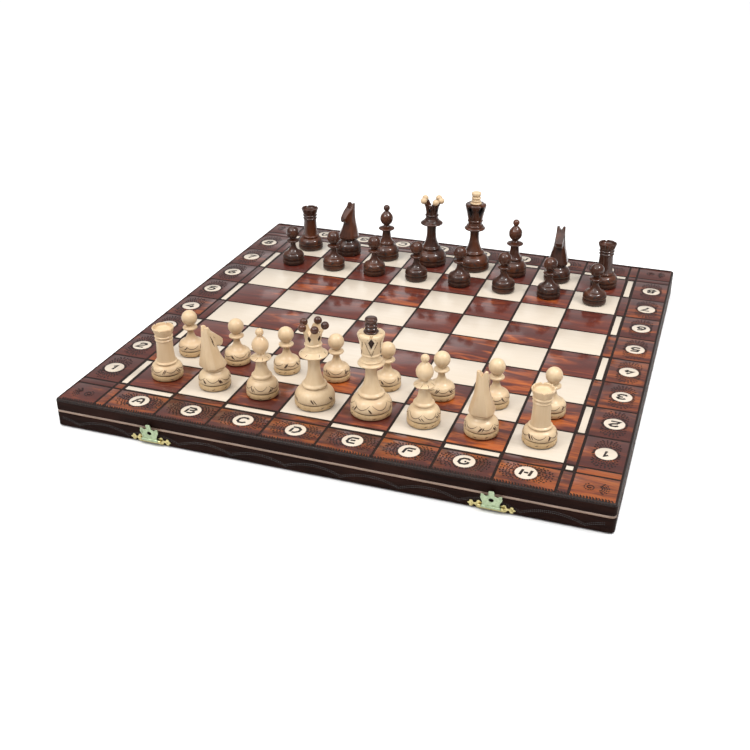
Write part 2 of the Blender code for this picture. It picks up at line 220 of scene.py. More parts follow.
# %% Cream maple under lacquer
def cream_maple():
    finish = Finish("cream maple", roughness=0.4, coat_weight=0.8, coat_roughness=0.2, coat_ior=1.5)
    blank = finish.node("ShaderNodeAttribute", {"attribute_name": "blank"}, output="Fac")
    grain = finish.noise(finish.shifted(finish.place((40.0, 420.0, 420.0)), blank * 19), 1.0, detail=3.0)
    cloud = finish.noise(finish.shifted(finish.place((18.0, 18.0, 18.0)), blank * 7), 1.0)
    pale = finish.ramp(grain, (0.25, (0.56, 0.48, 0.385)), (0.75, (0.60, 0.52, 0.43)))
    finish.set(base_color=finish.mix(cloud.between(0.35, 0.7) * 0.35, pale, (0.57, 0.485, 0.38)))
    finish.relief(grain, 0.05)
    return finish.material


# %% Burned lines and burned marks
def burned(name="burned line", char=(0.007, 0.0045, 0.004), ash=(0.026, 0.018, 0.016), coat=0.35):
    """Charred wood under the same lacquer. The ripple is the mark of the hot tool."""
    finish = Finish(name, roughness=0.5, coat_weight=coat, coat_roughness=0.2, coat_ior=1.5)
    finish.set(specular_ior_level=0.2)
    ripple = finish.noise(finish.place((700.0, 700.0, 700.0)), 1.0, detail=1.0)
    finish.set(base_color=finish.ramp(ripple, (0.35, char), (0.7, ash)))
    finish.relief(ripple, 0.35)
    return finish.material


# %% The dark rails and their pale milled stripe
def dark_rail():
    finish = Finish("dark stained rail", roughness=0.6, specular_ior_level=0.05)
    grain = finish.noise(finish.place((30.0, 30.0, 420.0)), 1.0, detail=4.0, roughness=0.6, distortion=0.4)
    cloud = finish.noise(finish.place((24.0, 24.0, 60.0)), 1.0)
    stain = finish.ramp(grain, (0.3, (0.0060, 0.0019, 0.0013)), (0.7, (0.0145, 0.0045, 0.0027)))
    finish.set(base_color=finish.mix(cloud.between(0.45, 0.7) * 0.5, stain, (0.024, 0.0085, 0.0055)))
    finish.relief(grain, 0.2)
    return finish.material


def bare_wood(name, light, dark, roughness=0.5):
    """Wood without stain or lacquer, its grain along Z."""
    finish = Finish(name, roughness=roughness)
    grain = finish.noise(finish.place((40.0, 40.0, 700.0)), 1.0, detail=3.0)
    finish.set(base_color=finish.ramp(grain, (0.3, dark), (0.7, light)))
    finish.relief(grain, 0.15)
    return finish.material


# %% [markdown]
# ## The men's finishes
#
# White's men are pale hornbeam under a thin satin varnish; their grain runs up the turned body. Black's men
# have a thick dark stain under gloss, with a warm brown showing through in places. The little
# decorations are burned in with a hot tool.

# %% Pale hornbeam and dark walnut
def turned_wood(name, light, dark, warm, roughness, coat, coat_roughness):
    """The number `blank` is one man's own, so that his grain and tone differ from his neighbours'."""
    finish = Finish(name, roughness=roughness, coat_weight=coat, coat_roughness=coat_roughness)
    blank = finish.node("ShaderNodeAttribute", {"attribute_name": "blank"}, output="Fac")
    fibres = finish.shifted(finish.place((520.0, 520.0, 45.0)), blank * 50)
    grain = finish.noise(fibres, 1.0, detail=3.0, roughness=0.55, distortion=0.3)
    cloud = finish.noise(finish.shifted(finish.place((70.0, 70.0, 26.0)), blank * 23), 1.0, detail=2.0)
    finish.set(specular_ior_level=0.2)
    body = finish.ramp(grain, (0.25, dark), (0.75, light))
    finish.set(base_color=finish.mix(cloud.between(0.42, 0.7) * 0.5 + blank * 0.3, body, warm))
    finish.relief(grain, 0.03)
    return finish.material


# %% Stamped brass, steel and felt
def stamped_metal(name, colour, dull, roughness):
    """Brass or steel with duller spots and small dents."""
    finish = Finish(name, metallic=1.0)
    spots = finish.noise(finish.place((420.0, 420.0, 420.0)), 1.0, detail=3.0)
    finish.set(base_color=finish.mix(spots.between(0.4, 0.75), colour, dull))
    finish.set(roughness=spots * 0.25 + (roughness - 0.1))
    finish.relief(finish.noise(finish.place((900.0, 900.0, 900.0)), 1.0), 0.25)
    return finish.material


def felt(name, colour, shadow):
    finish = Finish(name, roughness=0.95, sheen_weight=0.4, sheen_roughness=0.5)
    point = finish.place((1400.0, 1400.0, 1400.0))
    fibre = finish.noise(point, 1.0, detail=4.0, roughness=0.7, distortion=1.5)
    finish.set(base_color=finish.ramp(fibre, (0.3, shadow), (0.7, colour)))
    finish.relief(fibre, 0.8, 0.0003)
    return finish.material


# %% Mix all the finishes
FINISH = {
    "mahogany": mahogany("stained mahogany", 1.0),
    "border mahogany": mahogany("border mahogany", 0.66),
    "maple": cream_maple(),
    "burned": burned(),
    "burned edge": burned("burned edge", (0.006, 0.0028, 0.0020), (0.022, 0.0095, 0.0065), 0.08),
    "bead": burned("burned bead", (0.004, 0.003, 0.003), (0.010, 0.008, 0.008), 0.9),
    "rail": dark_rail(),
    "stripe": bare_wood("milled stripe", (0.36, 0.25, 0.19), (0.22, 0.15, 0.11), 0.45),
    "beech": bare_wood("raw beech", (0.62, 0.43, 0.27), (0.48, 0.31, 0.18)),
    "hornbeam": turned_wood(
        "pale hornbeam", (0.645, 0.495, 0.315), (0.59, 0.44, 0.27), (0.52, 0.345, 0.195), 0.42, 0.35, 0.22
    ),
    "walnut": turned_wood(
        "dark walnut", (0.044, 0.0130, 0.0060), (0.0080, 0.0030, 0.0022), (0.105, 0.028, 0.008),
        0.4, 0.6, 0.09
    ),
    "singed": turned_wood(
        "singed foot band", (0.62, 0.455, 0.265), (0.49, 0.33, 0.165), (0.50, 0.32, 0.155), 0.45, 0.3, 0.25
    ),
    "dark band": turned_wood(
        "dark foot band", (0.042, 0.0135, 0.0065), (0.0085, 0.0032, 0.0022), (0.070, 0.020, 0.007),
        0.42, 0.6, 0.12
    ),
    "fresh cut": bare_wood("freshly cut hornbeam", (0.74, 0.60, 0.42), (0.64, 0.49, 0.32), 0.5),
    "scorch": bare_wood("scorched stroke", (0.075, 0.027, 0.010), (0.022, 0.008, 0.004), 0.6),
    "soot": bare_wood("soot stroke", (0.012, 0.006, 0.005), (0.006, 0.004, 0.004), 0.5),
    "pale brass": stamped_metal("pale brass", (0.36, 0.43, 0.28), (0.25, 0.31, 0.20), 0.42),
    "yellow brass": stamped_metal("yellow brass", (0.58, 0.50, 0.24), (0.34, 0.28, 0.12), 0.34),
    "steel": stamped_metal("hinge steel", (0.56, 0.56, 0.55), (0.44, 0.44, 0.44), 0.38),
    "base felt": felt("base felt", (0.030, 0.075, 0.042), (0.012, 0.036, 0.020)),
    "lining felt": felt("lining felt", (0.035, 0.090, 0.050), (0.014, 0.045, 0.024)),
}
# The slot and the finishes of each side's men: wood, burned mark, foot band and a freshly cut facet. The
# burned mark's finish also darkens the very edge of each foot, partly as painted shade.
MEN = {
    "white": ("hornbeam", "scorch", "singed", "fresh cut"),
    "black": ("walnut", "soot", "dark band", "soot"),
}
OTHER = {"white": "black", "black": "white"}
print("finishes:", ", ".join(FINISH))

# %% [markdown]
# ## From a mesh to a piece
#
# Each piece is built in a bmesh, which lets us add rings and faces one by one.

# %% Make and place a piece
def make_piece(name, body, bm, finishes, nodes=(), smooth=None):
    mesh = bpy.data.meshes.new(name)
    bm.to_mesh(mesh)
    bm.free()
    for finish in finishes:
        mesh.materials.append(FINISH[finish])
    if smooth:
        mesh.shade_smooth()
        mesh.set_sharp_from_angle(angle=math.radians(smooth))
    piece = bpy.data.objects.new(name, mesh)
    scene.collection.objects.link(piece)
    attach(piece, body)
    if nodes:
        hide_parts(*nodes)


def paint(bm, start, finish, blank=None):
    """Gives the faces made since a count their finish number and, on wood, the number of their blank."""
    bm.faces.ensure_lookup_table()
    layer = bm.faces.layers.float.get("blank")
    for face in bm.faces[start:]:
        face.material_index = finish
        if layer and blank is not None:
            face[layer] = blank


def wood_bmesh():
    bm = bmesh.new()
    bm.faces.layers.float.new("blank")
    return bm


# %% Outlines
def arc(centre, radius, start, end, steps):
    angles = [math.radians(start + (end - start) * i / steps) for i in range(steps + 1)]
    return [(centre[0] + radius * math.cos(a), centre[1] + radius * math.sin(a)) for a in angles]


def circle(centre, side, up, radius, count):
    """Points round a centre, in the plane of two vectors; an ellipse if these differ in length."""
    turns = [math.tau * i / count for i in range(count)]
    return [centre + (side * math.cos(t) + up * math.sin(t)) * radius for t in turns]


def rectangle(x0, y0, x1, y1):
    """Counter-clockwise, whichever corners are given."""
    x0, x1 = sorted((x0, x1))
    y0, y1 = sorted((y0, y1))
    return [(x0, y0), (x1, y0), (x1, y1), (x0, y1)]


def dash(centre, length, width, angle):
    """A short mark with tapered ends, turned by an angle in degrees."""
    points = [(-0.5, 0), (-0.22, -0.5), (0.22, -0.5), (0.5, 0), (0.22, 0.5), (-0.22, 0.5)]
    c, s = math.cos(math.radians(angle)), math.sin(math.radians(angle))
    place = [(u * length, v * width) for u, v in points]
    return [(centre[0] + u * c - v * s, centre[1] + u * s + v * c) for u, v in place]


# %% Prisms, eased blanks and stacked rings
def add_prism(bm, outline, low, high):
    start = len(bm.faces)
    bottom = [bm.verts.new((x, y, low)) for x, y in outline]
    top = [bm.verts.new((x, y, high)) for x, y in outline]
    bm.faces.new(list(reversed(bottom)))
    bm.faces.new(top)
    for i in range(len(outline)):
        j = (i + 1) % len(outline)
        bm.faces.new((bottom[i], bottom[j], top[j], top[i]))
    paint(bm, start, 0)


def add_blank(bm, outline, low, high, ease, finish=0, blank=0.0):
    """A flat blank whose top edge is rounded over in two steps."""
    start = len(bm.faces)
    add_prism(bm, outline, low, high - ease)
    bm.faces.ensure_lookup_table()
    top = bm.faces[start + 1]
    for share, rise in ((0.3, 0.7), (0.7, 0.3)):
        inward, upward = ease * share, ease * rise
        bmesh.ops.inset_individual(bm, faces=[top], thickness=inward, depth=upward, use_even_offset=True)
    paint(bm, start, finish, blank)


def add_stack(bm, rings, closed=True):
    """Joins rings of equal length, each a list of 3-D points, and closes the first and the last."""
    made = [[bm.verts.new(point) for point in ring] for ring in rings]
    count = len(rings[0])
    for low, high in zip(made, made[1:]):
        for i in range(count):
            j = (i + 1) % count
            bm.faces.new((low[i], low[j], high[j], high[i]))
    if closed:
        bm.faces.new(list(reversed(made[0])))
        bm.faces.new(made[-1])


def add_bead(bm, centre, along, across, out, finish=0):
    """A low dome on a face. Along and across are its half-axes and out is its height, all as vectors."""
    start = len(bm.faces)
    sides = 8
    made = []
    for reach, rise in ((1.0, -0.2), (0.8, 0.6)):
        ring = circle(centre + out * rise, along * reach, across * reach, 1.0, sides)
        made.append([bm.verts.new(point) for point in ring])
    tip = bm.verts.new(centre + out)
    for i in range(sides):
        j = (i + 1) % sides
        bm.faces.new((made[0][i], made[0][j], made[1][j], made[1][i]))
        bm.faces.new((made[1][i], made[1][j], tip))
    bm.faces.new(list(reversed(made[0])))
    paint(bm, start, finish)


print("mesh helpers are ready")

# %% [markdown]
# ## The ground of the playing surface
#
# On the real board one sheet of wood carries the whole pattern, and a hot tool burns the grooves between
# the squares. We could cut those grooves with Booleans, but it is cleaner to think the other way round: a
# dark ground lies half a millimetre low, and every square stands on it as its own blank with eased edges.
# What is left between the blanks is the groove, with true depth. The ground is made for the whole board and
# cut at the fold, so that only the outer edges are rounded over.

# %% Widths of the pattern
groove = 2.3 * MM
groove_depth = 0.45 * MM
edge_round = 2.2 * MM
strip_inner = field + groove / 2
strip_outer = field + 8.4 * MM
border_inner = strip_outer + groove
border_wide, border_deep = half_wide - 2.3 * MM, half_deep - 2.3 * MM
ease = 0.35 * MM
print("strip from", round(strip_inner, 5), "to", round(strip_outer, 5))
print("border to", round(border_wide, 5), "by", round(border_deep, 5))


# %% Outline of the board at an inset
def rounded_outline(wide, deep, radius, steps=6):
    points = []
    for number, (x, y) in enumerate(((1, -1), (1, 1), (-1, 1), (-1, -1))):
        centre = (x * (wide - radius), y * (deep - radius))
        points += arc(centre, radius, -90 + 90 * number, 90 * number, steps)
    return points


# %% The two grounds
SIDES = {"front_half": -1, "rear_half": 1}


def keep_side(bm, side):
    """Cuts a whole-board mesh at the fold and closes the cut."""
    geometry = bm.verts[:] + bm.edges[:] + bm.faces[:]
    place, normal = (0, side * fold_gap, 0), (0, -side, 0)
    cut = bmesh.ops.bisect_plane(bm, geom=geometry, plane_co=place, plane_no=normal, clear_outer=True)
    edges = [item for item in cut["geom_cut"] if isinstance(item, bmesh.types.BMEdge)]
    bmesh.ops.edgeloop_fill(bm, edges=edges)
    bmesh.ops.recalc_face_normals(bm, faces=bm.faces)


def ground(half, side):
    bm = bmesh.new()
    turns = [math.radians(90 * i / 5) for i in range(6)]
    levels = [(panel_z, 0.0)]
    levels += [(top_z - edge_round * (1 - math.sin(t)), edge_round * (1 - math.cos(t))) for t in turns]
    levels.append((top_z - groove_depth, edge_round + 0.3 * MM))
    rings = []
    for z, inset in levels:
        outline = rounded_outline(half_wide - inset, half_deep - inset, corner_radius - inset)
        rings.append([(x, y, z) for x, y in outline])
    add_stack(bm, rings)
    for face in bm.faces:
        face.material_index = int(face.calc_center_median().z > top_z - edge_round)
    keep_side(bm, side)
    finishes, stands_for = ("rail", "burned edge"), [f"{half}_panel"]
    make_piece(f"{half}_ground", half, bm, finishes, stands_for, smooth=40)


for half, side in SIDES.items():
    ground(half, side)
print("grounds made; depth of the grooves", groove_depth / MM, "mm")

# %% [markdown]
# ## Squares, strip and border
#
# The pattern follows from a few rules. A square is dark where its file and rank numbers add up to an even
# number. A narrow strip runs round the field: beside a dark square it holds a pale bar, and beside a light
# square a stained piece. Outside it comes the border, with one cell for each file and rank and a cell at
# each corner.

# %% Where each blank lies
def cell(number):
    """The span of one file or rank across the field, from 0 to 7, less its grooves."""
    return (number - 4) * square + groove / 2, (number - 3) * square - groove / 2


def is_dark(file_number, rank_number):
    return (file_number + rank_number) % 2 == 0


def squares(side):
    """(outline, is pale) of each square of one half."""
    ranks = range(4) if side < 0 else range(4, 8)
    for rank in ranks:
        for file in range(8):
            (x0, x1), (y0, y1) = cell(file), cell(rank)
            yield rectangle(x0, y0, x1, y1), not is_dark(file, rank)


def strip(side):
    """(outline, is pale) of the narrow pieces round one half of the field."""
    bar_inset, bar_end = 0.85 * MM, 1.0 * MM
    ranks = range(4) if side < 0 else range(4, 8)
    edge_rank = 0 if side < 0 else 7
    for file in range(8):
        pale = is_dark(file, edge_rank)
        inset, end = (bar_inset, bar_end) if pale else (0, 0)
        x0, x1 = cell(file)
        yield rectangle(x0 + end, side * (strip_inner + inset), x1 - end, side * (strip_outer - inset)), pale
    for x_side, edge_file in ((-1, 0), (1, 7)):
        for rank in ranks:
            pale = is_dark(edge_file, rank)
            inset, end = (bar_inset, bar_end) if pale else (0, 0)
            y0, y1 = cell(rank)
            x0, x1 = x_side * (strip_inner + inset), x_side * (strip_outer - inset)
            yield rectangle(x0, y0 + end, x1, y1 - end), pale
        pale = not is_dark(edge_file, edge_rank)
        inset = bar_inset if pale else 0
        low, high = strip_inner + inset, strip_outer - inset
        yield rectangle(x_side * low, side * low, x_side * high, side * high), pale
        x0, x1, y0, y1 = border_inner, border_wide, strip_inner, strip_outer
        yield rectangle(x_side * x0, side * y0, x_side * x1, side * y1), False
        x0, x1, y0, y1 = strip_inner, strip_outer, border_inner, border_deep
        yield rectangle(x_side * x0, side * y0, x_side * x1, side * y1), False


def border(side):
    """(outline, False) of the border cells of one half."""
    ranks = range(4) if side < 0 else range(4, 8)
    for file in range(8):
        x0, x1 = cell(file)
        yield rectangle(x0, side * border_inner, x1, side * (border_deep + 0.9 * MM)), False
    for x_side in (-1, 1):
        for rank in ranks:
            y0, y1 = cell(rank)
            yield rectangle(x_side * border_inner, y0, x_side * border_wide, y1), False
        radius = corner_radius - (half_wide - border_wide)
        bend = (border_wide - radius, border_deep - radius)
        corner = [(border_inner, border_inner), (border_wide, border_inner)]
        corner += arc(bend, radius, 0, 90, 5) + [(border_inner, border_deep)]
        outline = [(x_side * x, side * y) for x, y in corner]
        yield (outline if x_side * side > 0 else outline[::-1]), False


# %% Lay the blanks
# The stain is painted brighter and more orange towards White's right corner. That is painted light. These
# are its shares across and along the board.
lit_share_across, lit_share_along = 0.4, 0.8
# A blank's number is a random part for the wood's own figure, a part for its place which is painted light,
# and a constant.
blank_spread, blank_light_share, blank_base = 0.75, 0.5, 0.1


def lay_blanks(half, side):
    stained, pale = wood_bmesh(), wood_bmesh()
    counts = [0, 0]
    for shade, pattern in enumerate((squares(side), strip(side), border(side))):
        for outline, is_pale in pattern:
            target, finish = (pale, 0) if is_pale else (stained, min(shade, 1))
            across, along = (sum(point[i] for point in outline) / len(outline) for i in (0, 1))
            # Painted light: highest towards White's right corner, as if that corner were lit more strongly.
            painted_light = lit_share_across * across / half_wide - lit_share_along * along / half_deep
            blank = blank_spread * dice.random() + blank_light_share * painted_light + blank_base
            add_blank(target, outline, top_z - groove_depth - 0.2 * MM, top_z, ease, finish, blank)
            counts[is_pale] += 1
    stains = ["mahogany", "border mahogany"]
    make_piece(f"{half}_stained_blanks", half, stained, stains, smooth=30)
    make_piece(f"{half}_pale_blanks", half, pale, ["maple"], smooth=30)
    print(half, "stained blanks:", counts[0], "pale blanks:", counts[1])


for half, side in SIDES.items():
    lay_blanks(half, side)

# %% [markdown]
# ## Letter discs and the burned ornament
#
# Each border cell keeps a round of bare pale wood with a burned letter or number. A ring of short scorched
# rays frames it, and fans of small marks fill the cell on both sides, like the barbs of a feather. All
# marks are one shape, the `dash`, so the ornament is only a matter of where they go. They stand a few
# hundredths of a millimetre proud, which reads as a line burned into the lacquer. A font would look
# printed, so each letter is drawn the way the maker burns it: as a few straight and bent strokes of a broad
# iron, with small gaps between them.

# %% Strokes of each letter and number
letter_wide, letter_tall, letter_lean = 8.2 * MM, 8.0 * MM, 0.16
stroke_width = 2.2 * MM
disc_radius = 8.8 * MM
mark_rise = 0.06 * MM

# Each character is a list of strokes on a unit square, (0, 0) at its lower left.
STROKES = {
    "A": [
        [(0.0, 0.0), (0.16, 0.72), (0.38, 1.0), (0.7, 1.0), (0.9, 0.7), (1.0, 0.0)],
        [(0.3, 0.36), (0.76, 0.36)],
    ],
    "B": [
        [(0.08, 0.0), (0.08, 0.78)],
        [(0.0, 1.0), (0.72, 1.0), (0.92, 0.78), (0.7, 0.55), (0.34, 0.52)],
        [(0.86, 0.42), (0.98, 0.22), (0.76, 0.0), (0.3, 0.0)],
    ],
    "C": [
        [(0.96, 0.8), (0.72, 1.0), (0.3, 1.0), (0.04, 0.74), (0.04, 0.26), (0.3, 0.0),
         (0.72, 0.0), (0.96, 0.2)],
    ],
    "D": [
        [(0.1, 0.0), (0.1, 0.76)],
        [(0.0, 1.0), (0.62, 1.0), (0.96, 0.7), (0.96, 0.3), (0.64, 0.0), (0.32, 0.0)],
    ],
    "E": [
        [(0.96, 1.0), (0.26, 1.0), (0.04, 0.76), (0.04, 0.24), (0.26, 0.0), (0.96, 0.0)],
        [(0.3, 0.52), (0.8, 0.52)],
    ],
    "F": [
        [(0.98, 1.0), (0.26, 1.0), (0.06, 0.78), (0.06, 0.0)],
        [(0.32, 0.54), (0.84, 0.54)],
    ],
    "G": [
        [(0.96, 0.84), (0.7, 1.0), (0.3, 1.0), (0.04, 0.74), (0.04, 0.26), (0.3, 0.0),
         (0.7, 0.0), (0.94, 0.18), (0.94, 0.46)],
        [(0.54, 0.46), (0.72, 0.46)],
    ],
    "H": [
        [(0.06, 0.0), (0.06, 1.0)],
        [(0.94, 0.0), (0.94, 1.0)],
        [(0.3, 0.52), (0.72, 0.52)],
    ],
    "1": [[(0.26, 0.72), (0.58, 1.0), (0.58, 0.0)]],
    "2": [
        [(0.06, 0.8), (0.28, 1.0), (0.72, 1.0), (0.92, 0.76), (0.72, 0.54), (0.3, 0.4),
         (0.06, 0.0), (0.98, 0.0)],
    ],
    "3": [
        [(0.06, 0.84), (0.3, 1.0), (0.72, 1.0), (0.92, 0.76), (0.68, 0.54), (0.4, 0.52)],
        [(0.86, 0.42), (0.96, 0.22), (0.72, 0.0), (0.28, 0.0), (0.04, 0.18)],
    ],
    "4": [
        [(0.62, 1.0), (0.04, 0.32), (1.0, 0.32)],
        [(0.74, 0.0), (0.74, 0.62)],
    ],
    "5": [[(0.9, 1.0), (0.14, 1.0), (0.08, 0.6), (0.68, 0.58), (0.94, 0.3), (0.7, 0.0), (0.04, 0.04)]],
    "6": [
        [(0.84, 0.98), (0.36, 0.9), (0.06, 0.5), (0.1, 0.14), (0.4, 0.0), (0.74, 0.04),
         (0.92, 0.3), (0.7, 0.54), (0.32, 0.52)],
    ],
    "7": [[(0.02, 1.0), (0.96, 1.0), (0.48, 0.42), (0.38, 0.0)]],
    "8": [
        [(0.5, 0.54), (0.16, 0.7), (0.26, 1.0), (0.74, 1.0), (0.86, 0.7), (0.5, 0.54)],
        [(0.36, 0.44), (0.06, 0.22), (0.3, 0.0), (0.72, 0.0), (0.94, 0.24), (0.66, 0.44)],
    ],
}


def burn_letter(bm, character, x, y, turn):
    """Lays every stroke as a ribbon of constant width, mitred at its bends."""
    spin = Matrix.Translation((x, y, 0)) @ Matrix.Rotation(math.radians(turn), 4, "Z")
    for stroke in STROKES[character]:
        points = []
        for u, v in stroke:
            leaning = u - 0.5 + letter_lean * (v - 0.5)
            points.append(Vector((leaning * letter_wide, (v - 0.5) * letter_tall)))
        left, right = [], []
        for i, point in enumerate(points):
            ahead = (points[min(i + 1, len(points) - 1)] - point).normalized()
            behind = (point - points[max(i - 1, 0)]).normalized()
            if not ahead.length:
                ahead = behind
            if not behind.length:
                behind = ahead
            run = (ahead + behind).normalized()
            across = Vector((-run.y, run.x)) * stroke_width / 2 / max(run.dot(ahead), 0.6)
            left.append(point + across)
            right.append(point - across)
        start = len(bm.verts)
        rows = list(zip(right, left))
        levels = (top_z - 0.1 * MM, top_z + mark_rise + 0.04 * MM)
        rings = [[(*a, levels[0]), (*b, levels[0]), (*b, levels[1]), (*a, levels[1])] for a, b in rows]
        add_stack(bm, rings)
        bm.verts.ensure_lookup_table()
        bmesh.ops.transform(bm, matrix=spin, verts=bm.verts[start:])


# %% Where the discs lie
def disc_places(side):
    """(x, y, character, turn of the character, direction along the border) of each disc of one half."""
    out, out_deep = (border_inner + border_wide) / 2 + 1.2 * MM, (border_inner + border_deep) / 2 - 3.2 * MM
    drift = (0.9, 2.5, 2.5, 1.5, 2.7, 1.9, -1.6, -1.4)
    for file in range(8):
        x = (file - 3.5) * square + drift[file] * MM
        yield x, side * out_deep, "ABCDEFGH"[file], 0 if side < 0 else 180, 0
    for rank in range(4) if side < 0 else range(4, 8):
        y = (rank - 3.5) * square
        yield -out, y, str(rank + 1), 0, 90
        yield out, y, str(rank + 1), 180, 90


# %% Rings and fans of marks
FAN_ROWS = ((12.9, 50, 11), (15.4, 40, 10), (18.2, 30, 8), (20.4, 15, 4))  # reach in mm, spread, marks


def add_mark(bm, place, length, width, turn):
    """Burns one dash, which stands a little proud of the surface."""
    add_prism(bm, dash(place, length, width, turn), top_z - 0.1 * MM, top_z + mark_rise)


def ring_marks(x, y, marks):
    """Short rays round a disc."""
    count = 30
    for i in range(count):
        angle = 360 * i / count + dice.uniform(-3, 3)
        a = math.radians(angle)
        length = dice.uniform(1.7, 3.1) * MM
        reach = disc_radius + 0.1 * MM + length / 2
        place = (x + reach * math.cos(a), y + reach * math.sin(a))
        turn = angle + dice.uniform(-12, 12)
        add_mark(marks, place, length, 1.1 * MM, turn)


def fan_marks(x, y, along, marks):
    """Barbs on both sides of a disc: crooked rows whose marks lean to and fro like stitches."""
    for way in (0, 180):
        for row, (reach, spread, count) in enumerate(FAN_ROWS):
            for i in range(count):
                lean = -spread + 2 * spread * i / (count - 1)
                angle = along + way + lean
                a = math.radians(angle)
                far = (reach + dice.uniform(-0.5, 0.5)) * MM
                place = (x + far * math.cos(a), y + far * math.sin(a))
                turn = angle + (-1) ** (i + row) * dice.uniform(25, 60)
                add_mark(marks, place, dice.uniform(1.5, 2.4) * MM, 1.0 * MM, turn)


def corner_scroll(x, y, side, x_side, marks):
    """A spiral of marks with a leaf of four strokes."""
    for i in range(20):
        angle = 40 + 30 * i
        reach = (1.0 + 0.2 * i) * MM
        a = math.radians(angle)
        place = (x + x_side * (reach * math.cos(a) - 4 * MM), y + side * reach * math.sin(a))
        add_mark(marks, place, 1.7 * MM, 0.8 * MM, x_side * side * (angle + 90))
    for leaf in range(4):
        for i in range(6):
            a = math.radians(-60 + 24 * i)
            reach = (3.0 + 1.7 * leaf) * MM
            place = (x + x_side * (2.5 * MM + reach * math.cos(a)), y + side * reach * math.sin(a))
            turn = x_side * side * (math.degrees(a) + 80)
            add_mark(marks, place, 2.0 * MM, 0.8 * MM, turn)


# %% Rope edge along the players' sides
def rope_edge(side, rope):
    """Slanting burned beads that bind the edge in front of a player and reach over the border."""
    pitch, lean = 2.35 * MM, 0.62
    count = int(2 * (half_wide - corner_radius) / pitch)
    for i in range(count):
        x = -half_wide + corner_radius + (i + 0.5) * pitch
        centre = Vector((x, side * (half_deep - 1.5 * MM), top_z - 0.42 * MM))
        outward = Vector((lean, side * 0.86, -0.34)).normalized()
        across = Vector((0.86, -side * lean, 0)).normalized()
        up = Vector((0, side * 0.35, 0.94)).normalized()
        add_bead(rope, centre, outward * 2.5 * MM, across * 0.62 * MM, up * 0.42 * MM)
        inward = (x + lean * 2.6 * MM, side * (half_deep - dice.uniform(3.6, 4.4) * MM))
        angle = math.degrees(math.atan2(-side * 0.86, -lean))
        add_mark(rope, inward, dice.uniform(3.2, 4.6) * MM, 1.15 * MM, angle)


# %% Dress the border of each half
def dress_border(half, side):
    discs, letters, marks, rope = wood_bmesh(), bmesh.new(), bmesh.new(), bmesh.new()
    for x, y, character, turn, along in disc_places(side):
        outline = arc((x, y), disc_radius, 0, 360, 48)[:-1]
        add_blank(discs, outline, top_z - 0.2 * MM, top_z + 0.05 * MM, 0.05 * MM, 0, dice.random())
        burn_letter(letters, character, x, y, turn)
        ring_marks(x, y, marks)
        fan_marks(x, y, along, marks)
    wide, deep = (border_inner + border_wide) / 2, (border_inner + border_deep) / 2
    for x_side in (-1, 1):
        corner_scroll(x_side * wide, side * deep, side, x_side, marks)
    rope_edge(side, rope)
    make_piece(f"{half}_discs", half, discs, ["maple"], smooth=30)
    make_piece(f"{half}_letters", half, letters, ["burned"])
    print(half, "marks:", len(marks.faces) // 8)
    make_piece(f"{half}_burned_marks", half, marks, ["bead"])
    make_piece(f"{half}_rope_edge", half, rope, ["burned edge"], smooth=50)


for half, side in SIDES.items():
    dress_border(half, side)

# %% [markdown]
# ## The rails
#
# Four rails make each box. A cutter has milled a shallow stripe all the way round through the dark stain,
# and below it a burned line of beads swings along the sides in shallow arches, one for each square. Each
# rail is a stack of outlines: two of the levels step in by the depth of the stripe.

# %% The rails' levels
stripe_low, stripe_high, stripe_depth = 13.5 * MM, 15.6 * MM, 0.45 * MM
rail_top = panel_z - 0.02 * MM
rail_levels = [
    (rim_z, 0.5 * MM), (rim_z + 0.5 * MM, 0.0), (rim_z + stripe_low, 0.0), (rim_z + stripe_low, stripe_depth),
    (rim_z + stripe_high, stripe_depth), (rim_z + stripe_high, 0.0), (rail_top, 0.0),
]


def is_stripe(z):
    return rim_z + stripe_low < z < rim_z + stripe_high


# %% Rails in front of the players
def player_rail(name, half, side):
    bm = bmesh.new()
    rings = []
    inner = half_deep - rail_wall
    for z, inset in rail_levels:
        r = corner_radius - inset
        bend_x, bend_y = half_wide - corner_radius, half_deep - corner_radius
        outline = [(-half_wide + inset, -inner), *arc((-bend_x, -bend_y), r, 180, 270, 6)]
        outline += [*arc((bend_x, -bend_y), r, 270, 360, 6), (half_wide - inset, -inner)]
        rings.append([(-side * x, -side * y, z) for x, y in outline])
    add_stack(bm, rings)
    for face in bm.faces:
        centre = face.calc_center_median()
        inside = abs(centre.y) < inner + 0.1 * MM
        face.material_index = 1 if is_stripe(centre.z) and not inside else 2 if inside else 0
    make_piece(name, half, bm, ("rail", "stripe", "beech"), [name], smooth=40)


# %% Rails at the board's left and right
def side_rail(half, side, place, x_side):
    bm = bmesh.new()
    inner = half_wide - rail_wall
    y0, y1 = sorted((side * fold_gap, side * (half_deep - rail_wall - 0.02 * MM)))
    rings = []
    for z, inset in rail_levels:
        x0, x1 = sorted((x_side * inner, x_side * (half_wide - inset)))
        rings.append([(x, y, z) for x, y in rectangle(x0, y0, x1, y1)])
    add_stack(bm, rings)
    for face in bm.faces:
        centre = face.calc_center_median()
        inside = abs(centre.x) < inner + 0.1 * MM
        on_outside = abs(centre.x) > inner + 8 * MM
        face.material_index = 1 if is_stripe(centre.z) and on_outside else 2 if inside else 0
    name = f"{half}_{place}_rail"
    make_piece(name, half, bm, ("rail", "stripe", "beech"), [name])


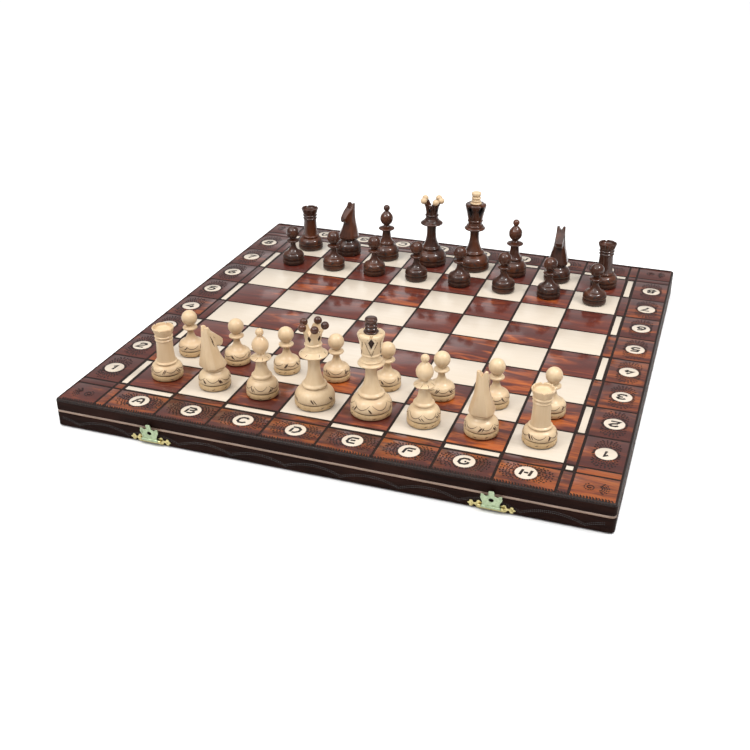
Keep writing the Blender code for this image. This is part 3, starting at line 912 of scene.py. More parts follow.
# %% Burned beads in arches along a side
def arch_beads(bm, point_at, length, out):
    """Point_at(s, z) gives a point on the face; s runs from minus to plus half the length."""
    pitch = 1.55 * MM
    count = int(length / pitch)
    for lift in (0.0, 1.5 * MM):
        for i in range(count):
            s = (i + 0.5) * pitch - length / 2
            swing = abs(math.sin(math.pi * (s / square + 0.5)))
            z = rim_z + 2.6 * MM + 5.6 * MM * swing ** 0.8 + lift
            along = (point_at(s + 1e-4, z) - point_at(s - 1e-4, z)).normalized()
            add_bead(bm, point_at(s, z), along * 0.5 * MM, Vector((0, 0, 0.42 * MM)), out * 0.16 * MM)


def side_beads(half, side):
    bm = bmesh.new()
    straight = 2 * (half_wide - corner_radius) - 4 * MM
    arch_beads(bm, lambda s, z: Vector((s, side * half_deep, z)), straight, Vector((0, side, 0)))
    middle = side * (half_deep - corner_radius + fold_gap) / 2
    for x_side in (-1, 1):
        out = Vector((x_side, 0, 0))
        place = lambda s, z, x_side=x_side: Vector((x_side * half_wide, middle + s, z))
        arch_beads(bm, place, half_deep - corner_radius - 4 * MM, out)
    bmesh.ops.recalc_face_normals(bm, faces=bm.faces)
    print(half, "beads:", len(bm.faces) // 17)
    make_piece(f"{half}_beads", half, bm, ["bead"], smooth=60)


for half, side in SIDES.items():
    player_rail("front_rail" if side < 0 else "rear_rail", half, side)
    for place, x_side in (("left", -1), ("right", 1)):
        side_rail(half, side, place, x_side)
    side_beads(half, side)
print("rails made, stripe at", stripe_low / MM, "to", stripe_high / MM, "mm above the rim")

# %% [markdown]
# ## Inside the boxes
#
# The underside shows raw beech where the spine rails meet, and green felt lines the storage space. The
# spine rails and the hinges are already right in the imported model, so their solids stay and only take a
# better finish. Felt is modelled as a thin sheet with rounded edges, a little smaller than the space.

# %% Lining, and finishes for the solids that stay
def lining(half, side):
    bm = bmesh.new()
    wide, deep = half_wide - rail_wall - 0.6 * MM, half_deep - rail_wall - 0.6 * MM
    outline = rectangle(-wide, side * 12.6 * MM, wide, side * deep)
    add_prism(bm, outline, panel_z - 0.8 * MM, panel_z - 0.05 * MM)
    bmesh.ops.bevel(bm, geom=bm.edges[:], offset=0.25 * MM, segments=2, affect="EDGES")
    make_piece(f"{half}_lining", half, bm, ["lining felt"], smooth=40)


def refinish(node, finish):
    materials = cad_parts[node].data.materials
    materials.clear()
    materials.append(FINISH[finish])


for half, side in SIDES.items():
    lining(half, side)
    refinish(f"{half}_spine_rail", "beech")
for place in ("left", "right"):
    refinish(f"{place}_hinge_front_leaf", "yellow brass")
    refinish(f"{place}_hinge_rear_leaf", "yellow brass")
    refinish(f"{place}_hinge_pin", "steel")
print("linings made; spine rails and hinges refinished")

# %% [markdown]
# ## Clasps
#
# A clasp is stamped from thin sheet brass: a base plate with lobed ends and two rolled knuckles, and a hasp
# that swings on a pin between them. We draw each outline as one half in millimetres, smooth it, mirror it
# and give it a thickness. A narrow bevel on the front edge is what makes stamped sheet catch the light.

# %% Sheet brass
def flow(points, steps=5):
    """A smooth curve through the points, both ends included."""
    padded = [points[0], *points, points[-1]]
    curve = []
    for p0, p1, p2, p3 in zip(padded, padded[1:], padded[2:], padded[3:]):
        for i in range(steps):
            t = i / steps
            square_part = [2 * a - 5 * b + 4 * c - d for a, b, c, d in zip(p0, p1, p2, p3)]
            cube_part = [3 * b - a - 3 * c + d for a, b, c, d in zip(p0, p1, p2, p3)]
            curve.append(tuple(
                0.5 * (2 * b + (c - a) * t + q * t * t + r * t ** 3)
                for a, b, c, q, r in zip(p0, p1, p2, square_part, cube_part)
            ))
    return curve + [points[-1]]


def mirrored(right_half):
    """A closed outline from its right half, which runs from the foot of the centre line to its top."""
    return right_half + [(-x, z) for x, z in reversed(right_half) if x > 0.01]


def sheet(outline, place, back, front, bevel=0.0):
    """Stamped sheet between two depths along Y. Place is (x, z); the outline is in mm from there."""
    bm = bmesh.new()
    rings = [[(place[0] + x * MM, y, place[1] + z * MM) for x, z in outline] for y in (back, front)]
    add_stack(bm, rings)
    bmesh.ops.recalc_face_normals(bm, faces=bm.faces)
    if bevel:
        edges = [e for e in bm.edges if all(abs(v.co.y - front) < 1e-7 for v in e.verts)]
        settings = {"segments": 2, "profile": 0.5, "affect": "EDGES", "clamp_overlap": True}
        bmesh.ops.bevel(bm, geom=edges, offset=bevel, **settings)
    return bm


def add_rod(bm, centre, radius, x0, x1, bore=0.0, sides=24):
    """A round rod along X, or a tube if it has a bore, with eased ends."""
    ease = min(0.15 * MM, radius * 0.2)
    rings = []
    steps = [(x0, radius - ease), (x0 + ease, radius), (x1 - ease, radius), (x1, radius - ease)]
    if bore:
        steps += [(x1, bore), (x0, bore)]
    for x, r in steps:
        rings.append(circle(Vector((x, *centre)), Vector((0, 1, 0)), Vector((0, 0, 1)), r, sides))
    if bore:
        add_stack(bm, [*rings, rings[0]], closed=False)
        bmesh.ops.remove_doubles(bm, verts=bm.verts, dist=1e-8)
    else:
        add_stack(bm, rings)


# %% Small slotted screws
def screw(name, body, place, out, radius):
    """A domed head with a slot. Place is the middle of its seat, and out the way it faces."""
    side = Vector((1, 0, 0))
    up = out.cross(side)
    bm = bmesh.new()
    rings = []
    for r, rise in ((1.0, -0.15), (1.0, 0.1), (0.86, 0.26), (0.6, 0.38), (0.25, 0.43)):
        rings.append(circle(place + out * rise * MM, side, up, r * radius, 24))
    add_stack(bm, rings)
    cut = bmesh.new()
    along, across = (side * 0.8 + up * 0.6) * 1.6 * radius, (up * 0.8 - side * 0.6) * 0.16 * radius
    corners = [along + across, -along + across, -along - across, along - across]
    add_stack(cut, [[place + c + out * rise * MM for c in corners] for rise in (0.16, 0.8)])
    head = carve(bm, cut, ["yellow brass"])
    make_piece(name, body, head, ["yellow brass"], smooth=35)


# %% [markdown]
# ## Carving with Booleans
#
# A screw's slot, the hasp's window, a crown, a battlement and the gap between a horse's ears are all cut
# after the body is made. A Boolean needs closed meshes, and the EXACT solver keeps the cutter's own finish
# on the faces that it leaves, so a hollow can be burned dark simply by painting the cutter.

# %% Cut one mesh with another
def as_object(bm, finishes):
    bmesh.ops.recalc_face_normals(bm, faces=bm.faces)
    mesh = bpy.data.meshes.new("shop")
    bm.to_mesh(mesh)
    bm.free()
    for finish in finishes:
        mesh.materials.append(FINISH[finish])
    made = bpy.data.objects.new("shop", mesh)
    scene.collection.objects.link(made)
    return made


def carve(body, cutter, finishes, operation="DIFFERENCE"):
    """Returns a new bmesh: the body cut by, or joined with, the cutter. Both are used up."""
    target, tool = as_object(body, finishes), as_object(cutter, finishes)
    modifier = target.modifiers.new("carve", "BOOLEAN")
    modifier.operation, modifier.solver, modifier.object = operation, "EXACT", tool
    bpy.context.view_layer.update()
    mesh = bpy.data.meshes.new_from_object(target.evaluated_get(bpy.context.evaluated_depsgraph_get()))
    result = bmesh.new()
    result.from_mesh(mesh)
    for shop in (target, tool):
        bpy.data.objects.remove(shop)
    bpy.data.meshes.remove(mesh)
    return result


def carve_each(body, cutters, finishes):
    """Cuts with one simple tool after another, which is safer than one tool made of many crossing shapes."""
    for cutter in cutters:
        bmesh.ops.remove_doubles(body, verts=body.verts, dist=2e-7)
        body = carve(body, cutter, finishes)
    return body


# %% Base plate with its knuckles
axis_out, axis_up = 2.2 * MM, 4.0 * MM
barrel_radius, hasp_half = 1.2 * MM, 7.8 * MM
brass_gap = 0.3 * MM
hasp_axis = (-half_deep - axis_out, rim_z + axis_up)


def clasp_plate(place, x):
    """The plate on White's rail. The pin runs through its two knuckles."""
    foot_line = [(0, 0.45), (9.6, 0.45), (11.0, 0.5)]
    lobes = flow([(11.6, 1.0), (12.4, 2.3), (13.6, 2.9), (14.5, 2.3), (14.9, 1.2), (16.2, 0.7), (17.4, 1.3),
                  (17.4, 2.5), (18.2, 3.0), (19.2, 3.7), (18.2, 4.5), (17.3, 4.9), (17.3, 6.1), (16.2, 6.6),
                  (15.0, 6.2), (14.5, 5.0), (13.4, 4.6), (12.2, 5.0)], 4)
    ear = flow([(11.7, 5.6), (11.5, 6.7), (10.6, 7.3), (9.4, 7.3), (8.8, 6.6), (8.2, 6.2)], 4) + [(0, 6.2)]
    face = -half_deep - brass_gap
    bm = sheet(mirrored(foot_line + lobes + ear), (x, rim_z), face + 0.02 * MM, face - 0.45 * MM, 0.14 * MM)
    for x_side in (-1, 1):
        x0, x1 = sorted((x + x_side * (hasp_half + brass_gap), x + x_side * (hasp_half + 2.6 * MM)))
        add_rod(bm, hasp_axis, barrel_radius, x0, x1)
    add_rod(bm, hasp_axis, 0.5 * MM, x - hasp_half - 2.9 * MM, x + hasp_half + 2.9 * MM, sides=14)
    bmesh.ops.recalc_face_normals(bm, faces=bm.faces)
    name = f"{place}_clasp_plate"
    make_piece(name, "front_half", bm, ["yellow brass"], [name], smooth=35)
    for letter, x_side in (("a", -1), ("b", 1)):
        seat = Vector((x + x_side * 16.1 * MM, face - 0.45 * MM, rim_z + 3.7 * MM))
        screw(f"{place}_plate_screw_{letter}", "front_half", seat, Vector((0, -1, 0)), 1.1 * MM)


# %% Hasp with its window and raised rim
def hasp(place, x):
    """Waisted sides, flared shoulders with scalloped tops, and a finger tab bent a little outwards."""
    sides = flow([(7.1, 0.4), (6.9, 2.0), (6.9, 3.6), (7.6, 5.6), (8.5, 7.4), (8.7, 8.6), (8.1, 9.6)], 4)
    tops = flow([(8.5, 10.4), (8.3, 11.3), (7.2, 11.5), (5.9, 11.0), (5.4, 10.2), (4.4, 9.9), (3.4, 10.4),
                 (2.5, 10.5)], 4)
    tab = flow([(2.4, 11.0), (2.3, 13.6), (2.1, 15.0), (1.3, 15.5), (0, 15.6)], 4)
    outline = mirrored([(0, 0.4)] + sides + tops + tab)
    half_sheet = 0.35 * MM
    middle_y, base_z = hasp_axis
    plate = sheet(outline, (x, base_z), middle_y + half_sheet, middle_y - half_sheet, 0.1 * MM)
    sunk = mirrored([(0, 0.9)] + sides + tops[:9] + [(3.0, 9.6), (0, 9.6)])
    inner = [(u * 0.84, 0.9 + (v - 0.4) * 0.86) for u, v in sunk]
    recess = sheet(inner, (x, base_z), middle_y - half_sheet + 0.22 * MM, middle_y - half_sheet - 1 * MM)
    hole = [(2.15 * math.cos(math.tau * i / 28), 6.6 + 1.7 * math.sin(math.tau * i / 28)) for i in range(28)]
    window = sheet(hole, (x, base_z), middle_y + 1 * MM, middle_y - 1 * MM)
    plate = carve(carve(plate, recess, ["pale brass"]), window, ["pale brass"])
    for vert in plate.verts:
        above = vert.co.z - base_z - 10.6 * MM
        if above > 0:
            vert.co.y -= 0.24 * above
    barrel = bmesh.new()
    add_rod(barrel, hasp_axis, barrel_radius, x - hasp_half, x + hasp_half, bore=0.7 * MM)
    bmesh.ops.recalc_face_normals(barrel, faces=barrel.faces)
    rolled = bpy.data.meshes.new("rolled barrel")
    barrel.to_mesh(rolled)
    barrel.free()
    plate.from_mesh(rolled)
    name = f"{place}_hasp"
    make_piece(name, f"{name}_body", plate, ["pale brass"], [name], smooth=35)


# %% Catch on the far rail
def catch(place, x):
    """A small plate with a stud that the hasp's window takes when the board is folded."""
    ear = flow([(5.6, 0.5), (7.4, 0.7), (8.5, 2.2), (7.6, 4.0), (8.1, 5.9), (6.4, 7.2), (4.2, 7.1),
                (2.4, 8.5), (0, 9.0)], 4)
    face = half_deep + brass_gap
    bm = sheet(mirrored([(0, 0.5)] + ear), (x, rim_z), face, face + 0.45 * MM, 0.12 * MM)
    stud = Vector((x, face, rim_z + 2.3 * MM))
    rings = []
    for r, rise in ((1.05, 0.0), (0.8, 0.5), (0.75, 1.9), (1.1, 2.3), (1.1, 2.7), (0.6, 3.05)):
        middle = stud + Vector((0, rise * MM, 0))
        rings.append(circle(middle, Vector((1, 0, 0)), Vector((0, 0, 1)), r * MM, 20))
    add_stack(bm, rings)
    bmesh.ops.recalc_face_normals(bm, faces=bm.faces)
    make_piece(f"{place}_catch", "rear_half", bm, ["yellow brass"], [f"{place}_catch"], smooth=35)
    for letter, x_side in (("a", -1), ("b", 1)):
        seat = Vector((x + x_side * 5.9 * MM, face + 0.45 * MM, rim_z + 3.9 * MM))
        screw(f"{place}_catch_screw_{letter}", "rear_half", seat, Vector((0, 1, 0)), 1.0 * MM)


for place, x in (("left", -149 * MM), ("right", 149 * MM)):
    clasp_plate(place, x)
    hasp(place, x)
    catch(place, x)
print("clasps made, hasp axis at", tuple(round(c, 5) for c in hasp_axis))

# %% [markdown]
# ## Turned men
#
# A lathe makes every man, so each is a profile spun about an axis. A profile is a list of (radius, height)
# points in millimetres, from the felt up to the tip. Crisp shoulders stay single points, and `flow`, which
# also drew the clasps, puts a smooth curve through the points of a hollow or a swelling. All men share one
# foot: a band, a burned groove and a dome.

# %% Curves for profiles
def swell(centre, radii, start, end, steps):
    """An elliptic arc of a profile, its angle in degrees from level."""
    turns = [math.radians(start + (end - start) * i / steps) for i in range(steps + 1)]
    return [(centre[0] + radii[0] * math.cos(t), centre[1] + radii[1] * math.sin(t)) for t in turns]


def foot(radius, dome_height, neck):
    band = [(radius - 1.0, 0), (radius - 0.4, 0.45), (radius, 1.4), (radius, 4.0), (radius - 0.35, 4.8)]
    groove_line = [(radius - 1.1, 5.2), (radius - 1.1, 5.8), (radius - 0.3, 6.15)]
    dome = swell((neck[0], 7.0), (radius - neck[0], dome_height - 7.0), 0, 74, 12)
    return band + groove_line + dome


# %% Profiles of the six kinds
def pawn_profile():
    stem = flow([(8.2, 13.1), (5.9, 15.0), (4.0, 18.0), (3.0, 21.6), (3.1, 24.3)])
    collar = flow([(3.1, 24.5), (5.4, 24.9), (6.8, 25.9), (6.85, 26.7), (6.3, 27.4), (4.9, 28.1),
                   (3.5, 28.9)], 4)
    return foot(12.3, 13.0, (8.4, 13.2)) + stem + collar + swell((0, 36.0), (7.25, 7.3), -60, 90, 22)


def rook_profile():
    ring = flow([(9.2, 13.9), (9.9, 14.3), (10.05, 15.0), (9.8, 15.7), (8.9, 16.2)], 3)
    shaft = flow([(8.5, 16.5), (8.0, 20.0), (7.6, 26.0), (7.25, 35.9)])
    beads = flow([(7.6, 36.3), (8.1, 36.9), (7.6, 37.6)], 4) + [(7.2, 38.0), (7.2, 39.3)]
    beads += flow([(7.7, 39.6), (8.3, 40.2), (7.8, 40.9)], 4) + [(7.3, 41.3), (7.4, 42.2)]
    cup = flow([(8.0, 42.6), (8.6, 44.4), (9.5, 47.2), (9.75, 48.2)]) + [(9.5, 48.8), (8.6, 48.75)]
    bowl = flow([(8.3, 48.3), (7.6, 46.4), (6.0, 45.5), (3.0, 45.2), (0, 45.15)])
    return foot(14.3, 13.4, (9.0, 13.6)) + ring + shaft + beads + cup + bowl


def bishop_profile():
    ring = flow([(8.4, 17.1), (9.05, 17.9), (9.1, 18.7), (8.7, 19.6), (7.8, 20.2)], 3)
    stem = flow([(7.4, 20.6), (5.8, 24.0), (4.9, 28.0), (4.5, 33.4)])
    collar = flow([(4.9, 33.8), (7.4, 34.2), (8.9, 35.1), (8.95, 35.9), (7.4, 36.7), (4.6, 37.8),
                   (3.2, 39.2)], 4)
    onion = flow([(3.3, 39.8), (5.3, 41.8), (6.9, 44.4), (7.4, 47.6), (6.7, 50.6), (4.6, 53.6), (2.3, 55.9)])
    tip = swell((0, 59.5), (3.65, 3.65), -52, 90, 12)
    return foot(14.3, 15.8, (7.6, 16.6)) + ring + stem + collar + onion + tip


def knight_profile():
    ring = flow([(8.8, 16.0), (8.5, 16.6), (9.2, 17.2), (9.65, 17.9), (9.5, 18.7), (8.6, 19.0)], 3)
    return foot(14.4, 14.6, (8.8, 15.8)) + ring + [(0, 19.0)]


def queen_profile():
    ring = flow([(9.8, 17.3), (10.8, 17.9), (11.05, 18.7), (10.7, 19.7), (9.7, 20.4)], 3)
    stem = flow([(9.0, 20.9), (7.0, 25.6), (5.7, 31.0), (5.2, 37.0), (5.3, 45.0)])
    collar = flow([(5.8, 45.6), (9.4, 46.0), (12.0, 46.9), (12.4, 47.7), (11.8, 48.5), (9.6, 49.9)], 4)
    steps = flow([(9.3, 50.4), (8.4, 51.0), (8.2, 51.6), (7.2, 53.2), (6.7, 55.6)], 3)
    ring2 = flow([(7.1, 56.1), (7.65, 56.8), (7.2, 57.6)], 4) + [(6.5, 58.0)]
    crown = flow([(6.55, 58.4), (6.9, 61.5), (7.8, 66.0), (9.4, 70.2), (9.9, 71.3)])
    cup = [(9.4, 71.8), (8.4, 71.5)] + flow([(7.7, 69.0), (6.2, 65.6), (3.4, 64.6), (0, 64.4)])
    return foot(17.5, 16.2, (9.4, 17.2)) + ring + stem + collar + steps + ring2 + crown + cup


def king_profile():
    ring = flow([(10.4, 17.3), (11.4, 17.9), (11.65, 18.7), (11.3, 19.7), (10.2, 20.4)], 3)
    stem = flow([(9.5, 20.9), (7.3, 25.6), (5.8, 31.0), (5.0, 37.0), (5.15, 44.2)])
    collar = flow([(5.7, 44.8), (8.8, 45.2), (11.1, 46.1), (11.5, 47.0), (10.9, 47.8), (9.3, 48.7)], 4)
    steps = flow([(9.2, 49.2), (9.5, 49.8), (9.0, 50.6), (8.2, 51.0), (7.7, 53.6), (7.9, 54.6)], 3)
    ring2 = flow([(8.2, 54.9), (8.6, 55.7), (8.3, 56.5)], 4) + [(7.9, 56.9)]
    crown = flow([(8.0, 57.3), (8.9, 61.4), (9.9, 66.6), (11.3, 71.4), (11.6, 73.0), (11.1, 74.4),
                  (10.0, 75.0)]) + [(6.5, 74.8), (0, 74.8)]
    return foot(17.8, 16.2, (10.2, 17.2)) + ring + stem + collar + steps + ring2 + crown


PROFILE = {
    "pawn": pawn_profile(), "rook": rook_profile(), "bishop": bishop_profile(), "knight": knight_profile(),
    "queen": queen_profile(), "king": king_profile(),
}
print("points in each profile:", {kind: len(points) for kind, points in PROFILE.items()})

# %% [markdown]
# ## Spinning a profile
#
# Blender's Screw modifier or `bmesh.ops.spin` would both turn a profile. Here the rings are built directly,
# because then we know the height of every face and can give the burned groove of the foot its own finish.

# %% Turn a profile into a mesh
def turn_body(bm, profile, sides, centre, finish_at=None):
    """Finish_at gives the finish number of a face from the height of its middle."""
    rings = []
    for radius, height in profile:
        if radius < 1e-6:
            rings.append([bm.verts.new(centre + Vector((0, 0, height * MM)))])
            continue
        turns = [math.tau * i / sides for i in range(sides)]
        ring = [(radius * MM * math.cos(t), radius * MM * math.sin(t), height * MM) for t in turns]
        rings.append([bm.verts.new(centre + Vector(point)) for point in ring])
    if len(rings[0]) > 1:
        bm.faces.new(list(reversed(rings[0])))
    for level, (low, high) in enumerate(zip(rings, rings[1:])):
        middle = (profile[level][1] + profile[level + 1][1]) / 2
        for i in range(sides):
            j = (i + 1) % sides
            if len(high) == 1:
                face = bm.faces.new((low[i], low[j], high[0]))
            elif len(low) == 1:
                face = bm.faces.new((low[0], high[j], high[i]))
            else:
                face = bm.faces.new((low[i], low[j], high[j], high[i]))
            face.material_index = finish_at(middle) if finish_at else 0


def own_grain(bm):
    """Gives a whole man his own number for grain and tone."""
    layer = bm.faces.layers.float.get("blank") or bm.faces.layers.float.new("blank")
    number = dice.random()
    for face in bm.faces:
        face[layer] = number


def radius_at(profile, height):
    """The outer radius of the foot or collar at a height, found on the way up."""
    for (r0, z0), (r1, z1) in zip(profile, profile[1:]):
        if z0 <= height <= z1 and z1 > z0:
            return r0 + (r1 - r0) * (height - z0) / (z1 - z0)
    return profile[0][0]


# %% [markdown]
# ## Burned strokes
#
# The maker touches each man with the edge of a hot iron: thin garlands round the dome (the queens have
# none), groups of two or three short slanting strokes below them, and short nicks along the foot band. A
# stroke is a narrow ribbon with pointed ends that follows the turned surface. It is laid a few hundredths
# of a millimetre above the wood.

# %% One stroke on a turned body
def add_stroke(bm, profile, centre, path, width, finish, rise=0.05):
    """Path is a list of (angle in degrees, height in mm). The ribbon is widest at its middle."""
    start = len(bm.faces)
    count = len(path)
    edges = []
    for i, (angle, height) in enumerate(path):
        before, after = path[max(i - 1, 0)], path[min(i + 1, count - 1)]
        radius = radius_at(profile, height)
        run = math.radians(after[0] - before[0]) * radius
        climb = after[1] - before[1]
        slope = (radius_at(profile, height + 0.3) - radius_at(profile, height - 0.3)) / 0.6
        climb *= math.sqrt(1 + slope * slope)
        reach = max(math.hypot(run, climb), 1e-6)
        half = width / 2 * math.sin(math.pi * (0.12 + 0.76 * i / (count - 1)))
        side_angle, side_height = -climb / reach * half, run / reach * half / math.sqrt(1 + slope * slope)
        pair = []
        for way in (1, -1):
            z = height + way * side_height
            r = radius_at(profile, z) + rise
            a = math.radians(angle) + way * side_angle / max(radius, 0.1)
            top = Vector((r * math.cos(a), r * math.sin(a), z + rise * 0.5))
            under = Vector(((r - 0.2) * math.cos(a), (r - 0.2) * math.sin(a), z))
            pair += [centre + top * MM, centre + under * MM]
        edges.append([bm.verts.new(point) for point in (pair[0], pair[2], pair[3], pair[1])])
    for low, high in zip(edges, edges[1:]):
        for i in range(4):
            j = (i + 1) % 4
            bm.faces.new((low[i], low[j], high[j], high[i]))
    bm.faces.new(list(reversed(edges[0])))
    bm.faces.new(edges[-1])
    paint(bm, start, finish)


# %% The decoration of one man
def decorate(bm, kind, profile, centre, finish):
    """Garlands, groups of strokes and nicks, each set turned by chance as a hand would leave them."""
    radius = profile[3][0]
    dome_top = {"pawn": 12.2, "rook": 12.4, "bishop": 14.0, "knight": 13.4, "queen": 15.0, "king": 15.2}[kind]
    groups = 5 if kind == "pawn" else 6
    turn = dice.uniform(0, 360)
    for group in range(groups):
        a0 = turn + 360 * group / groups
        sweep = 360 / groups
        low, high = 7.6 + 0.25 * (dome_top - 7.6), dome_top - 0.4
        if kind != "queen":
            steps = [0.06 + 0.88 * i / 14 for i in range(15)]
            arch = [(a0 + sweep * s, high - (high - low) * math.sin(math.pi * s)) for s in steps]
            add_stroke(bm, profile, centre, arch, 0.5, finish, rise=0.09)
        lean = dice.choice((-1, 1))
        for i in range(dice.choice((2, 3, 3))):
            a = a0 + dice.uniform(-4, 4) + i * 5.0 * 12 / radius
            z = dice.uniform(7.2, 8.2)
            long = dice.uniform(2.4, 4.2)
            shift = lean * dice.uniform(9, 15) * 12 / radius
            path = [(a + shift * s, z + long * s) for s in (0, 0.33, 0.67, 1)]
            add_stroke(bm, profile, centre, path, dice.uniform(0.75, 1.0), finish)
    for nick in range(9):
        a = turn + 40 * nick + dice.uniform(-12, 12)
        z = dice.uniform(1.2, 2.6)
        rise = dice.choice((1.0, -0.6))
        path = [(a + 11 * s, z + rise * s) for s in (0, 0.5, 1)]
        add_stroke(bm, profile, centre, path, 0.7, finish)


# %% Burned lines on the collars
COLLAR = {"bishop": (36.0, 37.4), "queen": (48.6, 50.3), "king": (45.0, 46.6)}


def score_collar(bm, kind, profile, centre, finish):
    """Short slanting lines between two heights of the collar, in mm."""
    if kind not in COLLAR:
        return
    low, high = COLLAR[kind]
    part = [point for point in profile if low - 1.5 < point[1] < high + 1.5]
    count = 12 if kind == "king" else 7
    for i in range(count):
        a = 360 * i / count + dice.uniform(-8, 8)
        path = [(a + 8 * s, low + (high - low) * s) for s in (0, 0.5, 1)]
        add_stroke(bm, part, centre, path, 0.5, finish)


# %% Felt under the foot
def felt_pad(name, body, centre, radius):
    bm = bmesh.new()
    pad = [(radius - 1.6, -0.22), (radius - 1.2, -0.12), (radius - 1.2, 0.02), (0, 0.02)]
    turn_body(bm, pad, 40, centre)
    make_piece(name, body, bm, ["base felt"], smooth=40)


print("turning helpers are ready")

# %% Directions round a man, and wedge-shaped cutters
def spoke(angle, reach, across, height):
    """A point given outwards, sideways and upwards from a man's axis, in mm, facing an angle in degrees."""
    a = math.radians(angle)
    x = reach * math.cos(a) - across * math.sin(a)
    y = reach * math.sin(a) + across * math.cos(a)
    return Vector((x, y, height)) * MM


def bar(centre, angle, outline, reaches, finish=0, shrink=1.0):
    """A straight cutter between two reaches; its near end may be drawn in sideways by a factor."""
    bm = bmesh.new()
    near, far = reaches
    hub = [centre + spoke(angle, near, across * shrink, height) for across, height in outline]
    rim = [centre + spoke(angle, far, across, height) for across, height in outline]
    add_stack(bm, [hub, rim])
    paint(bm, 0, finish)
    return bm


def wedge(centre, angle, outline, reach, point, finish=0):
    """A cutter with an outline at some reach, narrowing to one point. Outline is (across, height)."""
    bm = bmesh.new()
    rim = [bm.verts.new(centre + spoke(angle, reach, across, height)) for across, height in outline]
    tip = bm.verts.new(centre + spoke(angle, *point))
    bm.faces.new(rim)
    for i in range(len(rim)):
        bm.faces.new((rim[(i + 1) % len(rim)], rim[i], tip))
    bmesh.ops.recalc_face_normals(bm, faces=bm.faces)
    paint(bm, 0, finish)
    return bm


# %% [markdown]
# ## The king's crown
#
# Five petals stand round the crown. Between them a kite-shaped hollow narrows to a point inside the wood.
# Its facets are fresh pale wood on White's king and soot on Black's. A notch opens the rim above each
# hollow, a small core in its middle is cut deeper and painted dark, and a thin burned line runs along both
# its sides.

# %% Petals and kites
KITE_TURN = {"white": -70.0, "black": -112.0}
FINIAL_FOOT = 75.15


def kings_crown(body, colour, centre, finishes):
    kite = [(0, 47.4), (8.0, 70.6), (0, 77.0), (-8.0, 70.6)]
    notch = [(-3.4, 77.4), (0, 73.0), (3.4, 77.4)]
    core = [(0, 62.6), (2.7, 69.2), (0, 73.4), (-2.7, 69.2)]
    cutters = []
    for number in range(5):
        angle = KITE_TURN[colour] + 72 * number
        cutters.append(wedge(centre, angle, kite, 12.6, (6.7, 0, 66.4), finish=3))
        cutters.append(bar(centre, angle, notch, (8.2, 14.0)))
        # The core is cut deeper than the facets, and its walls are painted dark with the burned finish.
        cutters.append(bar(centre, angle, core, (6.2, 13.0), finish=1))
    before = len(body.verts)
    body = carve_each(body, cutters, finishes)
    print(colour, "king's crown: vertices", before, "->", len(body.verts))
    return body


def kite_lines(bm, colour, centre, profile):
    """A thin burned line along both sides of each kite, as the tip of a hot knife leaves it."""
    for number in range(5):
        angle = KITE_TURN[colour] + 72 * number
        for way in (-1, 1):
            path = [(0.5, 56.4), (11.0, 60.6), (21.0, 65.0), (29.0, 69.8), (16.0, 72.8), (9.0, 74.2)]
            add_stroke(bm, profile, centre, [(angle + way * turn, z) for turn, z in path], 0.55, 1)


def finial(name, body_name, centre, colour):
    stack = [(0, 0), (5.9, 0)] + flow([(6.3, 0.3), (6.2, 0.9), (4.6, 1.6), (4.2, 2.1)], 4)
    stack += flow([(4.6, 2.4), (5.15, 3.0), (5.15, 3.7), (4.5, 4.3)], 4) + [(4.1, 4.8), (4.1, 5.2)]
    stack += flow([(4.6, 5.5), (5.25, 6.1), (5.25, 6.9), (4.5, 7.5)], 4) + [(4.05, 7.9), (4.05, 8.4)]
    stack += flow([(4.5, 8.8), (5.2, 9.8), (5.2, 11.4), (4.8, 12.4), (3.9, 12.9)], 4)
    stack += flow([(3.2, 13.1), (0, 13.2)], 3)
    bm = bmesh.new()
    turn_body(bm, stack, 48, centre + Vector((0, 0, FINIAL_FOOT * MM)))
    own_grain(bm)
    other = OTHER[colour]
    node = f"{name}_finial"
    make_piece(node, body_name, bm, MEN[other][:1], [node], smooth=32)


# %% [markdown]
# ## The queen's crown
#
# The queen's crown is a thin cup. V notches leave five petals, a dark kite is burned below each notch, and
# each petal carries a ball of the opposite colour on its tip.

# %% Notches and balls
BALL_TURN = {"white": (15, 87, 160, 234, 301), "black": (0, 60, 155, 218, 308)}


def queens_crown(body, colour, centre, finishes):
    cutters = []
    kite = [(0, 60.6), (1.7, 64.0), (0, 67.6), (-1.7, 64.0)]
    turns = sorted(BALL_TURN[colour])
    for this, following in zip(turns, turns[1:] + [turns[0] + 360]):
        angle = (this + following) / 2
        half = 4.3 * (following - this) / 72
        notch = [(-half, 73.4), (0, 65.4), (half, 73.4)]
        cutters.append(bar(centre, angle, notch, (3.0, 14.0), shrink=0.4))
        cutters.append(bar(centre, angle, kite, (5.6, 14.0), finish=1))
    return carve_each(body, cutters, finishes)


def crown_balls(name, body_name, colour, centre):
    other = OTHER[colour]
    for number, angle in enumerate(BALL_TURN[colour]):
        bm = bmesh.new()
        place = centre + spoke(angle, 10.3, 0, 74.0)
        turn_body(bm, swell((0, 0), (3.55, 3.45), -90, 90, 18), 32, place)
        own_grain(bm)
        make_piece(f"{name}_ball_{number + 1}", body_name, bm, MEN[other][:1], smooth=60)


# %% [markdown]
# ## The rook's battlement
#
# Six shallow notches are filed across the rim of the cup, with burned dots between them.

